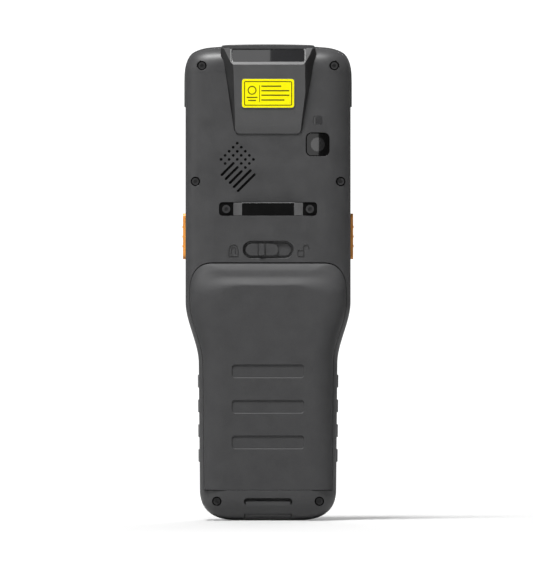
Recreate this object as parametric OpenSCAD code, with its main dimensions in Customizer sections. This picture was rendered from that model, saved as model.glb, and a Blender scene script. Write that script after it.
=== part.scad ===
// Portable barcode data terminal, standing upright on its lower end.
// X runs across the body, Z along it, and the back with the battery pack faces -Y.
// The two housings meet on the plane Y = 0.

/* [Overall] */
// Length from the lower end to the top of the scanner hood
total_l = 207; // [200:0.5:214]
// Width of the upper body
body_w = 71.9; // [70:0.1:76]
// Width of the grip just below the waist
grip_w = 60.4; // [58:0.1:62]
// Width of the grip at its lower end
grip_end_w = 59.2; // [57:0.1:61]
// Depth of the flat back behind the joint plane
back_d = 10.6; // [10.2:0.1:11.6]
// Depth of the front face ahead of the joint plane
front_d = 11.4; // [11:0.1:13]
// Depth of the battery pack's crown behind the joint plane
pack_d = 15.2; // [14.6:0.1:17]
// Height at which the waist begins
waist_lo = 68; // [64:0.5:72]
// Height at which the waist ends
waist_hi = 95; // [91:0.5:97]

/* [Housings] */
// Wall of the housings at the sides
side_wall = 2.2; // [1.9:0.1:2.4]
// Wall of the flat back
back_wall = 2.2; // [2:0.1:2.6]
// Wall of the keypad face
key_wall = 1.8; // [1.5:0.1:2]
// Width of the rounding between back and sides
back_round = 12; // [10:0.5:13]
// Width of the rounding between front and sides
front_round = 4.4; // [3.5:0.1:5]
// Half width of the flat lower end
foot_half = 14; // [12:0.5:15]
// Height of the rounded lower corners
foot_round = 13.6; // [12:0.1:14.5]
// Height of the rounded upper corners
head_round = 16; // [14:0.5:18]

/* [Scanner hood] */
// Length of the hood
hood_l = 38.9; // [37:0.1:41]
// Width of the hood at its top
hood_top_w = 40.8; // [39:0.1:42]
// Width of the hood at its foot
hood_foot_w = 29.6; // [28:0.1:31]
// Depth of the hood's outer edge behind the joint plane
hood_d = 14.6; // [14.2:0.1:15.6]
// Width of the scan window
window_w = 31.4; // [29:0.1:32]
// Width of the plate on the hood
plate_w = 23; // [20:0.1:25]
// Height of the plate on the hood
plate_h = 12.8; // [11:0.1:14]

/* [Battery pack] */
// Height of the seam under the pack
pack_lo = 13.1; // [12.6:0.1:13.6]
// Height of the seam above the pack
pack_hi = 111.9; // [111:0.1:112.4]
// Rim of housing left beside the pack
pack_rim = 1.9; // [1.7:0.1:2.2]
// Gap round the pack
pack_gap = 0.2; // [0.15:0.01:0.3]
// Length of the slope above the crown
pack_slope = 10.4; // [9:0.1:12]
// Width of the grip grooves
groove_w = 31.25; // [26:0.25:32]
// Height of the grip grooves
groove_h = 5.6; // [5:0.1:6.5]
// Distance between grip grooves
groove_pitch = 15.45; // [14:0.05:16]

/* [Latch and strap] */
// Height of the latch
latch_z = 117.65; // [117.4:0.05:118.2]
// Travel of the latch
latch_travel = 5.3; // [5:0.1:5.5]
// Width of the strap bar
strap_w = 5.5; // [5:0.1:6]
// Clear height of the strap bar over the back
strap_rise = 3; // [2.6:0.1:3.4]
// Length of the lower strap slot
slot_l = 21; // [19:0.5:22]

/* [Keys] */
// Distance between the number keys across
key_pitch_x = 17; // [16.5:0.1:17.5]
// Distance between the number keys along
key_pitch_z = 11.5; // [11:0.1:11.6]
// Width of a number key
key_w = 13; // [11:0.1:13.4]
// Height of a number key
key_h = 7.6; // [7:0.1:8]
// Height of the keys over the face
key_rise = 1; // [0.8:0.1:1.6]
// Travel of a key
key_travel = 0.7; // [0.5:0.05:0.7]
// Gap round a key
key_gap = 0.35; // [0.3:0.01:0.4]

/* [Hidden] */
NUMBER_KEYS = ["key_1", "key_2", "key_3", "key_4", "key_5", "key_6",
    "key_7", "key_8", "key_9", "key_star", "key_0", "key_hash"];
OTHER_KEYS = ["key_scan", "key_up", "key_down", "key_left", "key_right", "key_power"];
KEYS = concat(NUMBER_KEYS, OTHER_KEYS);
$fn = 48;

far = 60;
heights = total_l / 207;
strap_z = 135.3 * heights;
thin_gap = 0.1;
corner_steps = 12;
waist_steps = 12;
round_levels = 9;
shape_n = 2.4;
head_n = 3;
belt_d = 2;
foot_belt_d = 7.5;
front_belt_d = front_d - front_round;
head_half = hood_top_w / 2;
head_z = total_l - 1;
head_corner_z = head_z - head_round;
top_drop = 0.5;
bumper_proud = 0.55;
bumper_in = 1;
bumper_lo = total_l - 27.2;
bay_floor = 1.5;
seam_step = 0.4;
pack_corner_x = 24;
pack_corner_h = 13;
crown_half = 18.5;
crown_lo_z = 60;
pack_in = bay_floor + seam_step;
bay_top_wall = 1.9;
head_room = pack_hi + bay_top_wall;
cavity_d = back_d - back_wall;
front_inner = 8;
face_inner = front_d - key_wall;

// Smooth step between 0 and 1
function smooth(t) = t <= 0 ? 0 : t >= 1 ? 1 : t * t * (3 - 2 * t);
function mix(a, b, t) = a + (b - a) * t;

// Half width of the body at a height
function half_w(z) = z < waist_lo
    ? mix(grip_end_w, grip_w, max(0, z) / waist_lo) / 2
    : mix(grip_w, body_w, smooth((z - waist_lo) / (waist_hi - waist_lo))) / 2;

// Superellipse: how far out, and how far along, at an angle
function wide(a, n) = pow(max(0, cos(a)), 2 / n);
function deep(a, n) = pow(max(0, sin(a)), 2 / n);

waist_zs = [for (j = [0:waist_steps]) mix(waist_lo, waist_hi, j / waist_steps)];
grip_zs = [for (j = [1:4]) mix(foot_round, waist_lo, j / 5)];

// Right half of the body's outline, moved in by inset; lo and hi are the ends' own insets
function right_side(inset, lo, hi) = concat(
    [for (j = [0:corner_steps]) let (a = 90 * j / corner_steps)
        [foot_half + (half_w(foot_round) - inset - foot_half) * deep(a, shape_n),
         foot_round - (foot_round - lo) * wide(a, shape_n)]],
    [for (z = concat(grip_zs, waist_zs)) [half_w(z) - inset, z]],
    [for (j = [0:corner_steps]) let (a = 90 * j / corner_steps)
        [head_half + (body_w / 2 - inset - head_half) * wide(a, head_n),
         head_corner_z + (head_z - hi - head_corner_z) * deep(a, head_n)]]);

// Whole outline from its right half, and back
function both_sides(side) = concat(side,
    [for (j = [len(side) - 1:-1:0]) [-side[j][0], side[j][1]]]);
function outline(inset) = both_sides(right_side(inset, inset, inset));

// Outline of the upper body only, above a height
function upper_outline(inset, lo) = both_sides(concat(
    [[body_w / 2 - inset, lo]],
    [for (j = [0:corner_steps]) let (a = 90 * j / corner_steps)
        [head_half + (body_w / 2 - inset - head_half) * wide(a, head_n),
         head_corner_z + (head_z - inset - head_corner_z) * deep(a, head_n)]]));

// Depth of the back at a height, and of the belt line where its rounding starts
function back_at(z) = mix(pack_d, back_d, smooth((z - foot_round) / (crown_lo_z - foot_round)));
function belt_at(z) = mix(foot_belt_d, belt_d, smooth(z / 18));
// Depth of the back's surface at a height, an inset from its side
function surface_at(inset, z) = inset >= back_round ? back_at(z)
    : mix(belt_at(z), back_at(z),
        pow(1 - pow(1 - inset / back_round, shape_n), 1 / shape_n));

// Pack: right half of its seam, from the lower end to the middle of the top
pack_side_zs = concat([pack_lo], grip_zs, waist_zs);
function seam_side(inset, top_inset) = concat(
    [for (z = pack_side_zs) [half_w(z) - pack_rim - inset, z + (z == pack_lo ? pack_gap / 2 : 0)]],
    [for (j = [1:corner_steps]) let (a = 90 * j / corner_steps)
        [pack_corner_x + (body_w / 2 - pack_rim - inset - pack_corner_x) * wide(a, shape_n),
         pack_hi - pack_corner_h + (pack_corner_h - top_inset) * deep(a, shape_n)]]);
function crown_side() = concat(
    [for (z = pack_side_zs) [crown_x(z), z + (z == pack_lo ? pack_gap / 2 : 0)]],
    [for (j = [1:corner_steps]) let (a = 90 * j / corner_steps)
        [mix(pack_corner_x - 10, crown_x(waist_hi), wide(a, shape_n)),
         mix(waist_hi, pack_hi - pack_slope, deep(a, shape_n))]]);
function crown_x(z) = crown_half + 0.35 * (half_w(z) - grip_w / 2);

// Ring of points in space from a right half; depths holds one depth a point
function ring(side, depths) = concat(
    [for (j = [0:len(side) - 1]) [side[j][0], depths[j], side[j][1]]],
    [for (j = [len(side) - 1:-1:0]) [-side[j][0], depths[j], side[j][1]]]);
function level_depths(side, y) = [for (p = side) y];

// Closed skin through rings of equal length; the first ring lies at the larger Y
module skin(rings) {
    n = len(rings[0]);
    h = n / 2;
    last = len(rings) - 1;
    points = [for (r = rings) for (p = r) p];
    walls = [for (r = [0:last - 1]) for (j = [0:n - 1]) let (k = (j + 1) % n)
        for (f = [[r * n + j, (r + 1) * n + k, r * n + k], [r * n + j, (r + 1) * n + j, (r + 1) * n + k]]) f];
    first_cap = [for (j = [0:h - 2]) for (f = [[j, j + 1, n - 2 - j], [j, n - 2 - j, n - 1 - j]]) f];
    last_cap = [for (j = [0:h - 2]) for (f = [[j, n - 2 - j, j + 1], [j, n - 1 - j, n - 2 - j]])
        [for (i = f) i + last * n]];
    polyhedron(points = points, faces = concat(walls, first_cap, last_cap), convexity = 8);
}

// Plate of a flat shape between two depths; the shape's second axis becomes Z
module slab(y0, y1) {
    translate([0, y1, 0]) rotate([90, 0, 0]) linear_extrude(height = y1 - y0) children();
}

// Rounded rectangle about the middle
module rounded(w, h, r) {
    square([w - 2 * r, h], center = true);
    square([w, h - 2 * r], center = true);
    for (x = [-1, 1]) for (z = [-1, 1])
        translate([x * (w / 2 - r), z * (h / 2 - r)]) circle(r = r);
}

// Shape with round ends
module stadium(w, h) {
    square([w - h, h], center = true);
    for (x = [-1, 1]) translate([x * (w - h) / 2, 0]) circle(r = h / 2);
}

// Rod along Y
module rod(r, y0, y1) {
    translate([0, y1, 0]) rotate([90, 0, 0]) cylinder(r = r, h = y1 - y0);
}

// Box from its low corner to its high corner
module block(lo, hi) {
    translate(lo) cube([hi[0] - lo[0], hi[1] - lo[1], hi[2] - lo[2]]);
}

// ---------------------------------------------------------------- casing screws

screw_r = 1;
screw_head_r = 1.7;
screw_head_h = 1.2;
counterbore_r = 2.05;
screw_hole_r = 1.15;
screw_end = 6.5;
post_r = 2.6;
boss_r = 2.3;
// Each screw's place across, height, depth of its seat, and depth of its post's root
top_screw_z = total_l - 9.3;
mid_screw_z = 147.3 * heights;
low_screw_z = 8.2;
screw_seats = [
    [body_w / 2 - 7.15, top_screw_z, cavity_d, cavity_d + 0.4],
    [body_w / 2 - 4.35, mid_screw_z, back_d - 3.3, back_d - 5.6],
    [grip_end_w / 2 - 7.3, low_screw_z, pack_d - 3.4, 0]];

module at_screws() {
    for (s = screw_seats) for (side = [-1, 1])
        translate([side * s[0], 0, s[1]]) children();
}

module casing_screws() {
    color([0.09, 0.09, 0.1])
    for (s = screw_seats) for (side = [-1, 1]) translate([side * s[0], 0, s[1]]) {
        difference() {
            rod(screw_head_r, -s[2] - screw_head_h, -s[2]);
            rod(0.75, -s[2] - far, -s[2] - screw_head_h + 0.6);
        }
        rod(screw_r, -s[2], screw_end);
    }
}

// ---------------------------------------------------------------- rear housing

hood_foot_z = total_l - hood_l;
strap_pocket_w = 42.6;
strap_pocket_h = 5.9;
strap_pocket_d = 1.6;
strap_pocket_r = 1.45;
strap_screw_x = 18.2;
latch_pocket_w = 22.05;
latch_pocket_h = 7.5;
latch_pocket_d = 1.3;
stem_x = -2.7;
stem_half_w = 2.5;
stem_half_h = 1.3;
bolt_x0 = -8;
bolt_x1 = -5;
bolt_outer = cavity_d - thin_gap;
bolt_t = 1.8;
bolt_clear = 0.4;
camera_x = 21.6;
camera_z = 163.4 * heights;
camera_w = 10.05;
camera_r = 2.3;
camera_seat = 9.1;
flash_z = camera_z + 10.4;
flash_w = 3.9;
hole_r = 0.55;
hole_gap_row = 5;
hole_pitch = 1.758;
hole_x = -13.4;
hole_z = 163.9 * heights;
slot_w = 0.9;
// Grille rows: how far down, first and last place across; one row has a gap at -1
grille_rows = [[0, 0, 0], [1, -1, 1], [2, -2, 2], [3, -3, 3], [4, -4, 4], [5, -3, 3], [6, 2, 2]];
// Grille slots: lower end across and down, and how far each runs across
grille_slots = [[-3.8, 7.8, 2.85], [-2.8, 8.8, 2.85], [-1.8, 9.8, 2.85], [-0.8, 10.8, 4.07], [0.2, 11.8, 4.07]];
tab_x0 = 12.5;
tab_x1 = 18.5;
tab_y0 = 12;
tab_y1 = 10.2;
tab_drop = 2.1;
slot_mouth_lo = 6.5;
slot_mouth_hi = 9.6;
slot_back = 12.9;
slot_front = 10.1;

module grille_cut() {
    translate([hole_x, 0, hole_z]) {
        for (row = grille_rows) for (j = [row[1]:2:row[2]])
            if (!(row[0] == hole_gap_row && j == -1))
                translate([j * hole_pitch, 0, -row[0] * hole_pitch]) rod(hole_r, -back_d - 1, -cavity_d + 1);
        for (s = grille_slots) translate([s[0] * hole_pitch, 0, -s[1] * hole_pitch])
            rotate([0, -45, 0]) slab(-back_d - 1, -cavity_d + 1)
                translate([s[2] * hole_pitch * 0.7071, 0]) stadium(s[2] * hole_pitch * 1.4142 + slot_w, slot_w);
    }
}

// Foot of the hood, seen from behind
module hood_foot_shape() {
    polygon([[-hood_foot_w / 2 + 1.5, hood_foot_z], [hood_foot_w / 2 - 1.5, hood_foot_z],
        [hood_foot_w / 2, hood_foot_z + 1.5], [hood_top_w / 2, total_l],
        [-hood_top_w / 2, total_l], [-hood_foot_w / 2, hood_foot_z + 1.5]]);
}

hood_top_in = 1;
hood_lip_z = head_z - side_wall - 0.2;

// Room in the rear housing for the hood
module hood_room() {
    slab(-far, -cavity_d) hood_foot_shape();
    block([-hood_top_w / 2, -far, hood_lip_z], [hood_top_w / 2, -hood_top_in, total_l + 1]);
}

module rear_body() {
    skin(concat(
        [ring(right_side(0, 0, 0), level_depths(right_side(0, 0, 0), 0))],
        [for (k = [0:round_levels]) let (
            a = 90 * k / round_levels,
            inset = back_round * (1 - wide(a, shape_n)),
            side = right_side(inset, inset, inset * top_drop))
            ring(side, [for (p = side) -mix(belt_at(p[1]), back_at(p[1]), deep(a, shape_n))])]));
}

module bay_shape() {
    polygon(both_sides([for (p = seam_side(-pack_gap, -pack_gap))
        [p[0], p[1] == pack_lo + pack_gap / 2 ? pack_lo - pack_gap / 2 : p[1]]]));
}

module upper_cavities() {
    slab(-belt_d - 2.5, 1) polygon(upper_outline(side_wall, head_room - 0.4));
    slab(-cavity_d, -belt_d) polygon(upper_outline(6, head_room));
}

module rear_posts() {
    for (s = screw_seats) for (side = [-1, 1])
        if (s[1] > head_room) translate([side * s[0], 0, s[1]]) rod(post_r, -s[3], 0);
    for (side = [-1, 1]) translate([side * strap_screw_x, 0, strap_z]) rod(3, -cavity_d - 0.5, -4.6);
}

module strap_slot() {
    block([-slot_l / 2, -slot_back, -1], [slot_l / 2, -slot_front, slot_mouth_hi]);
    block([-slot_l / 2, -far, slot_mouth_lo], [slot_l / 2, -slot_front, slot_mouth_hi]);
}

module rear_housing() {
    color([0.29, 0.29, 0.3])
    difference() {
        union() {
            difference() {
                rear_body();
                upper_cavities();
            }
            rear_posts();
        }
        hood_room();
        slab(-far, -bay_floor) bay_shape();
        grille_cut();
        translate([0, 0, strap_z]) slab(-far, -back_d + strap_pocket_d) rounded(strap_pocket_w, strap_pocket_h, strap_pocket_r);
        for (side = [-1, 1]) translate([side * strap_screw_x, 0, strap_z]) rod(0.85, -back_d, -5.4);
        translate([0, 0, latch_z]) slab(-far, -back_d + latch_pocket_d) stadium(latch_pocket_w, latch_pocket_h);
        block([stem_x - stem_half_w - thin_gap, -back_d, latch_z - stem_half_h - thin_gap],
            [stem_x + stem_half_w + latch_travel + thin_gap, -4, latch_z + stem_half_h + thin_gap]);
        block([bolt_x0 - bolt_clear, -bolt_outer, pack_hi - 1],
            [bolt_x1 + latch_travel + bolt_clear, -bolt_outer + bolt_t + 0.2, head_room + 1]);
        translate([camera_x, 0, camera_z]) {
            slab(-far, -camera_seat) rounded(camera_w + 0.3, camera_w + 0.3, camera_r + 0.15);
            rod(3.6, -back_d, -4);
        }
        translate([camera_x, 0, flash_z]) slab(-far, -4) rounded(flash_w + 0.1, flash_w + 0.1, 0.95);
        for (s = screw_seats) for (side = [-1, 1]) translate([side * s[0], 0, s[1]]) {
            rod(counterbore_r, -far, -s[2]);
            rod(screw_hole_r, -far, 1);
        }
        for (side = [0, 1]) mirror([side, 0, 0])
            block([tab_x0 - 0.2, -tab_y0 - 0.2, pack_lo - tab_drop - 0.2], [tab_x1 + 0.2, -tab_y1 + 0.9, pack_lo + 1]);
        strap_slot();
        block([-10.2, -bay_floor - 1, bay_contact_z - 2.2], [10.2, 1, bay_contact_z + 2.2]);
    }
}

// ---------------------------------------------------------------- front housing

glass_w = 61;
glass_lo = 101;
glass_hi = total_l - 12;
glass_r = 4;
glass_t = 1.7;
display_w = 56;
display_margin = 3;
grip_lo = 22;
grip_hi = 66.5;
grip_y0 = 1.2;
grip_y1 = 6.6;
grip_in = 0.8;
button_z = 123.45 * heights;
button_l = 19.9;
button_y = 3.6;
button_h = 4.6;
button_r = 1.6;
usb_y = 3.4;
usb_w = 9;
usb_h = 3.2;
dock_xs = [-12.4, -9.4, 9.4, 12.4];
face_mid_z = (glass_hi + head_z) / 2;

// Centre, width and height of every key; the keys read from the front, where +X is on the left
pad_lo = 17;
nav_z = 74.5;
nav_dx = 20.5;
nav_dz = 11.6;
function number_key(i) = [(1 - i % 3) * key_pitch_x, pad_lo + (3 - floor(i / 3)) * key_pitch_z, key_w, key_h, 2.4];
function key_of(name) = name == "key_scan" ? [0, nav_z, 20, 13, 6]
    : name == "key_up" ? [0, nav_z + nav_dz, 15, 6, 2.6]
    : name == "key_down" ? [0, nav_z - nav_dz, 15, 6, 2.6]
    : name == "key_left" ? [nav_dx, nav_z, 8, 12, 3]
    : name == "key_right" ? [-nav_dx, nav_z, 8, 12, 3]
    : name == "key_power" ? [nav_dx, nav_z + nav_dz, 8, 6, 2.6]
    : number_key(search([name], NUMBER_KEYS)[0]);
flange = 0.7;
flange_y = face_inner - 0.3;
flange_t = 0.7;
mat_y = flange_y - flange_t - key_travel - 0.1;
mat_t = 0.8;
board_t = 1.2;
board_y = mat_y - mat_t;
frame_y = board_y - board_t;
frame_t = 1.2;
pad_hi = nav_z + nav_dz + 7;

module front_body() {
    side = right_side(0, 0, 0);
    skin(concat(
        [for (k = [round_levels - 1:-1:0]) let (
            a = 90 * k / (round_levels - 1),
            inset = front_round * (1 - wide(a, 2)),
            rim = right_side(inset, inset, inset))
            ring(rim, level_depths(rim, mix(front_belt_d, front_d, deep(a, 2))))],
        [ring(side, level_depths(side, 0))]));
}

module bumper_band(outer, y0, y1) {
    intersection() {
        slab(y0, y1) difference() {
            polygon(upper_outline(outer, bumper_lo - 10));
            polygon(upper_outline(bumper_in, bumper_lo - 11));
        }
        block([-far, -far, bumper_lo], [far, far, total_l + far]);
    }
}

module grip_band(outer) {
    slab(grip_y0, grip_y1) difference() {
        polygon(both_sides([for (z = [grip_lo, 40, grip_hi]) [half_w(z) + outer, z]]));
        polygon(both_sides([for (z = [grip_lo - 1, 40, grip_hi + 1]) [half_w(z) - grip_in, z]]));
    }
}

module case_groove() {
    slab(-0.01, 0.8) difference() {
        polygon(outline(0.7));
        polygon(outline(1.5));
    }
}

module front_housing() {
    color([0.27, 0.27, 0.28])
    difference() {
        union() {
            difference() {
                front_body();
                slab(-1, front_inner) polygon(outline(side_wall));
                translate([0, 0, (pad_lo + pad_hi) / 2 - 3]) slab(-1, face_inner)
                    rounded(grip_end_w - 7, pad_hi - pad_lo + 10, 2);
            }
            at_screws() rod(boss_r, 0, front_inner + 0.5);
        }
        at_screws() rod(screw_r + 0.02, -1, screw_end + 0.4);
        case_groove();
        bumper_band(-2, 1, front_belt_d - 0.2);
        grip_band(2);
        translate([0, 0, (glass_lo + glass_hi) / 2]) {
            slab(front_d - glass_t, front_d + 1) rounded(glass_w + 0.2, glass_hi - glass_lo + 0.2, glass_r);
            slab(1, front_d) rounded(display_w + 0.2, glass_hi - glass_lo - 2 * display_margin + 0.2, 1);
        }
        for (name = KEYS) let (k = key_of(name)) translate([k[0], 0, k[1]])
            slab(1, front_d + 1) rounded(k[2] + 2 * key_gap, k[3] + 2 * key_gap, k[4]);
        translate([0, 0, face_mid_z]) slab(1, front_d + 1) stadium(12, 1.8);
        translate([11, 0, face_mid_z]) rod(0.95, 1, front_d + 1);
        for (side = [0, 1]) mirror([side, 0, 0]) button_shape(body_w / 2 - side_wall - 2, body_w / 2 + 1, 0.15);
        translate([0, usb_y, -1]) linear_extrude(height = 5) stadium(usb_w + 0.2, usb_h + 0.2);
        for (x = dock_xs) translate([x, usb_y, -1]) cylinder(r = 0.9, h = 5);
    }
}

module top_bumper() {
    color([0.24, 0.24, 0.25]) bumper_band(-bumper_proud, 1, front_belt_d - 0.2);
}

rib_l = 5.5;
rib_pitch = 10.8;
rib_proud = 0.5;
module side_grips() {
    color([0.5, 0.5, 0.5]) {
        grip_band(0);
        for (k = [0:3]) intersection() {
            grip_band(rib_proud);
            block([-far, -far, grip_lo + 3.2 + k * rib_pitch], [far, far, grip_lo + 3.2 + k * rib_pitch + rib_l]);
        }
    }
}

module case_gasket() {
    color([0.1, 0.1, 0.1]) slab(0, 0.8) difference() {
        polygon(outline(0.7));
        polygon(outline(1.5));
    }
}

// ---------------------------------------------------------------- scanner hood

hood_slope_z = total_l - 34.5;
hood_edge_z = total_l - 8.5;
hood_lip_y = 9.3;
window_top_z = total_l - 1.6;
hood_foot_y = back_d + 0.35;
hood_bend_y = back_d + 1.3;
facet_run = hood_d - hood_lip_y;
facet_rise = window_top_z - hood_edge_z;
facet_angle = atan(facet_run / facet_rise);
facet_l = sqrt(facet_run * facet_run + facet_rise * facet_rise);
plate_slope = atan((hood_d - hood_bend_y) / (hood_edge_z - hood_slope_z));
plate_z = total_l - 21.4;
plate_t = 0.3;
window_t = 1.2;
window_h = 6.8;

module in_facet() {
    translate([0, -hood_d, hood_edge_z]) rotate([-facet_angle, 0, 0]) children();
}

module hood_profile() {
    rotate([90, 0, 90]) translate([0, 0, -far / 2]) linear_extrude(height = far)
        polygon([[-cavity_d, hood_foot_z], [-hood_foot_y, hood_foot_z], [-hood_bend_y, hood_slope_z],
            [-hood_d, hood_edge_z], [-hood_lip_y, window_top_z], [-hood_lip_y, total_l],
            [-cavity_d, total_l]]);
}

module hood_wedge() {
    lean = 0.5;
    out = 10;
    f = hood_foot_w / 2;
    t = hood_top_w / 2;
    z0 = hood_foot_z;
    polyhedron(
        points = [
            [-f - lean * back_wall, -cavity_d, z0], [f + lean * back_wall, -cavity_d, z0],
            [t + lean * back_wall, -cavity_d, total_l], [-t - lean * back_wall, -cavity_d, total_l],
            [-f + lean * out, -back_d - out, z0], [f - lean * out, -back_d - out, z0],
            [t - lean * out, -back_d - out, total_l], [-t + lean * out, -back_d - out, total_l]],
        faces = [[0, 1, 2, 3], [4, 7, 6, 5], [0, 4, 5, 1], [1, 5, 6, 2], [2, 6, 7, 3], [3, 7, 4, 0]]);
}

module scanner_hood() {
    color([0.31, 0.31, 0.32])
    difference() {
        union() {
            intersection() {
                hood_profile();
                slab(-far, -cavity_d) hood_foot_shape();
                hood_wedge();
            }
            block([-hood_top_w / 2, -hood_lip_y, hood_lip_z], [hood_top_w / 2, -hood_top_in, total_l]);
        }
        block([-12.6, -back_d - 0.2, hood_foot_z + 6], [12.6, 0, hood_lip_z]);
        block([-12.6, -back_d - 1.8, hood_foot_z + 20], [12.6, 0, hood_lip_z - 3]);
        in_facet() {
            translate([-window_w / 2, -1, 1.45]) cube([window_w, 1.3 + window_t, window_h]);
            translate([-window_w / 2 + 1.5, 0, 2.4]) cube([window_w - 3, 6, window_h - 2]);
        }
    }
}

module scan_window() {
    color([0.2, 0.2, 0.22, 0.8]) in_facet()
        translate([-window_w / 2, 0.3, 1.45]) cube([window_w, window_t, window_h]);
}

module hood_plate() {
    color([1, 0.95, 0])
    translate([0, -mix(hood_bend_y, hood_d, (plate_z - hood_slope_z) / (hood_edge_z - hood_slope_z)), plate_z])
        rotate([plate_slope, 0, 0]) slab(-plate_t, 0) rounded(plate_w, plate_h, 1.1);
}

engine_lo = total_l - 22;
engine_hi = total_l - 9.6;
module scan_engine() {
    color([0.12, 0.12, 0.13]) difference() {
        block([-10.8, -back_d, engine_lo], [10.8, -4.2, engine_hi]);
        for (x = [-4.5, 5.5]) translate([x, -7.4, engine_hi - 1]) cylinder(r = x < 0 ? 2.5 : 1.6, h = 2);
    }
}

module scan_lens() {
    color([0.5, 0.2, 0.25])
    for (x = [-4.5, 5.5]) translate([x, -7.4, engine_hi - 1]) cylinder(r = x < 0 ? 2.5 : 1.6, h = 1.6);
}

module scan_bracket() {
    color([0.6, 0.6, 0.62]) {
        block([-12.4, -4.2, engine_lo - 4], [12.4, -main_back, engine_hi]);
        for (side = [0, 1]) mirror([side, 0, 0]) block([10.8, -9, engine_lo], [11.8, -4.2, engine_hi - 2]);
    }
}

// ---------------------------------------------------------------- windows, speaker, strap

module camera_window() {
    color([0.02, 0.02, 0.02]) translate([camera_x, 0, camera_z])
        slab(-back_d + 0.25, -camera_seat) rounded(camera_w, camera_w, camera_r);
}

module camera_module() {
    color([0.1, 0.1, 0.1]) translate([camera_x, 0, camera_z]) {
        slab(-cavity_d + 1, -main_back) square(9.4, center = true);
        rod(3.2, -camera_seat + 0.1, -cavity_d + 1);
    }
}

module flash_window() {
    color([0.2, 0.2, 0.2]) translate([camera_x, 0, flash_z]) {
        slab(-back_d + 0.15, -cavity_d) rounded(flash_w, flash_w, 0.9);
        slab(-cavity_d, -cavity_d + 0.8) square(5.4, center = true);
    }
}

speaker_x = hole_x - 0.2;
speaker_z = hole_z - 6.1 * hole_pitch;
module speaker_mesh() {
    color([0.05, 0.05, 0.05]) translate([speaker_x, 0, speaker_z])
        slab(-cavity_d, -cavity_d + 0.3) rounded(16, 24.5, 2);
}

module speaker() {
    color([0.15, 0.15, 0.16]) translate([speaker_x, 0, speaker_z]) {
        slab(-cavity_d + 0.3, -main_back - 0.6) rounded(15, 22, 2);
        slab(-main_back - 0.6, -main_back) rounded(10, 16, 2);
    }
}

bar_t = 1.2;
foot_out = back_d - strap_pocket_d + bar_t;
bridge_in = back_d + strap_rise;
module strap_bar() {
    foot_end = strap_pocket_w / 2 - 0.3;
    slope_out = 15.05;
    slope_in = 11.4;
    color([0.1, 0.1, 0.11])
    difference() {
        intersection() {
            translate([0, 0, strap_z - strap_w / 2]) linear_extrude(height = strap_w) polygon([
                [-foot_end, -foot_out + bar_t], [-foot_end, -foot_out], [-slope_out, -foot_out],
                [-slope_in, -bridge_in - bar_t], [slope_in, -bridge_in - bar_t], [slope_out, -foot_out],
                [foot_end, -foot_out], [foot_end, -foot_out + bar_t], [slope_out - 0.7, -foot_out + bar_t],
                [slope_in - 0.7, -bridge_in], [-slope_in + 0.7, -bridge_in], [-slope_out + 0.7, -foot_out + bar_t]]);
            translate([0, 0, strap_z]) slab(-far, 0) rounded(2 * foot_end, strap_w + 0.1, strap_pocket_r);
        }
        for (side = [-1, 1]) translate([side * strap_screw_x, 0, strap_z]) rod(1, -far, 0);
    }
}

module strap_screws() {
    color([0.12, 0.12, 0.13])
    for (side = [-1, 1]) translate([side * strap_screw_x, 0, strap_z]) {
        difference() {
            rod(1.78, -foot_out - 0.9, -foot_out);
            rod(0.7, -far, -foot_out - 0.4);
        }
        rod(0.83, -foot_out, -5.6);
    }
}

// ---------------------------------------------------------------- latch

slider_x0 = -9.66;
slider_x1 = 4.5;
module latch_slider() {
    seat = back_d - latch_pocket_d;
    color([0.28, 0.28, 0.29]) {
        translate([(slider_x0 + slider_x1) / 2, 0, latch_z])
            slab(-seat - 1.1, -seat) stadium(slider_x1 - slider_x0, 5.05);
        translate([stem_x, 0, latch_z]) slab(-seat - 2.1, -seat - 1.1) square([2.3, 5], center = true);
        block([stem_x - stem_half_w, -seat, latch_z - stem_half_h],
            [stem_x + stem_half_w, -bolt_outer, latch_z + stem_half_h]);
    }
}

module latch_bolt() {
    color([0.6, 0.6, 0.6]) {
        block([-9, -bolt_outer, head_room + 0.6], [4, -bolt_outer + bolt_t, latch_z + 2.8]);
        block([bolt_x0, -bolt_outer, pack_hi - 1.15], [bolt_x1, -bolt_outer + bolt_t, head_room + 0.6]);
    }
}

module latch_guide() {
    guide_x = 14;
    back = bolt_outer - bolt_t - 0.1;
    color([0.65, 0.65, 0.66]) {
        block([-guide_x, -back, head_room + 0.4], [guide_x, -back + 1, latch_z + 3.2]);
        for (side = [0, 1]) mirror([side, 0, 0])
            block([11.8, -cavity_d, head_room + 0.4], [guide_x, -back, latch_z + 3.2]);
    }
}

// ---------------------------------------------------------------- battery pack

pocket_z = pack_hi - 2.1;
keeper_top = pack_hi - 1.9;
pocket_y0 = bolt_outer + 0.35;
pocket_y1 = bolt_outer - bolt_t - 0.4;
groove_top_z = 64.75;
groove_d = 0.7;
crown_wall = 1.7;
pack_draft = 0.9;
pack_levels = 9;

// Level t of the pack's outer surface: rounded at the sides, and an S at the top
function pack_level(t) = let (
    seam = seam_side(0, 0),
    crown = crown_side(),
    a = 90 * t)
    [for (j = [0:len(seam) - 1]) let (
        s = seam[j],
        c = crown[j],
        top_share = smooth((s[1] - waist_hi) / (pack_hi - waist_hi)),
        across = mix(1 - wide(a, shape_n), t, top_share),
        out = mix(deep(a, shape_n), smooth(t), top_share),
        seam_depth = surface_at(min(pack_rim + (s[1] > waist_hi ? body_w / 2 - pack_rim - s[0] : 0), back_round), s[1]))
        [mix(s[0], c[0], across), -mix(seam_depth, pack_d, out), mix(s[1], c[1], across)]];

function pack_ring(level) = concat(level, [for (j = [len(level) - 1:-1:0]) [-level[j][0], level[j][1], level[j][2]]]);

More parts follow.
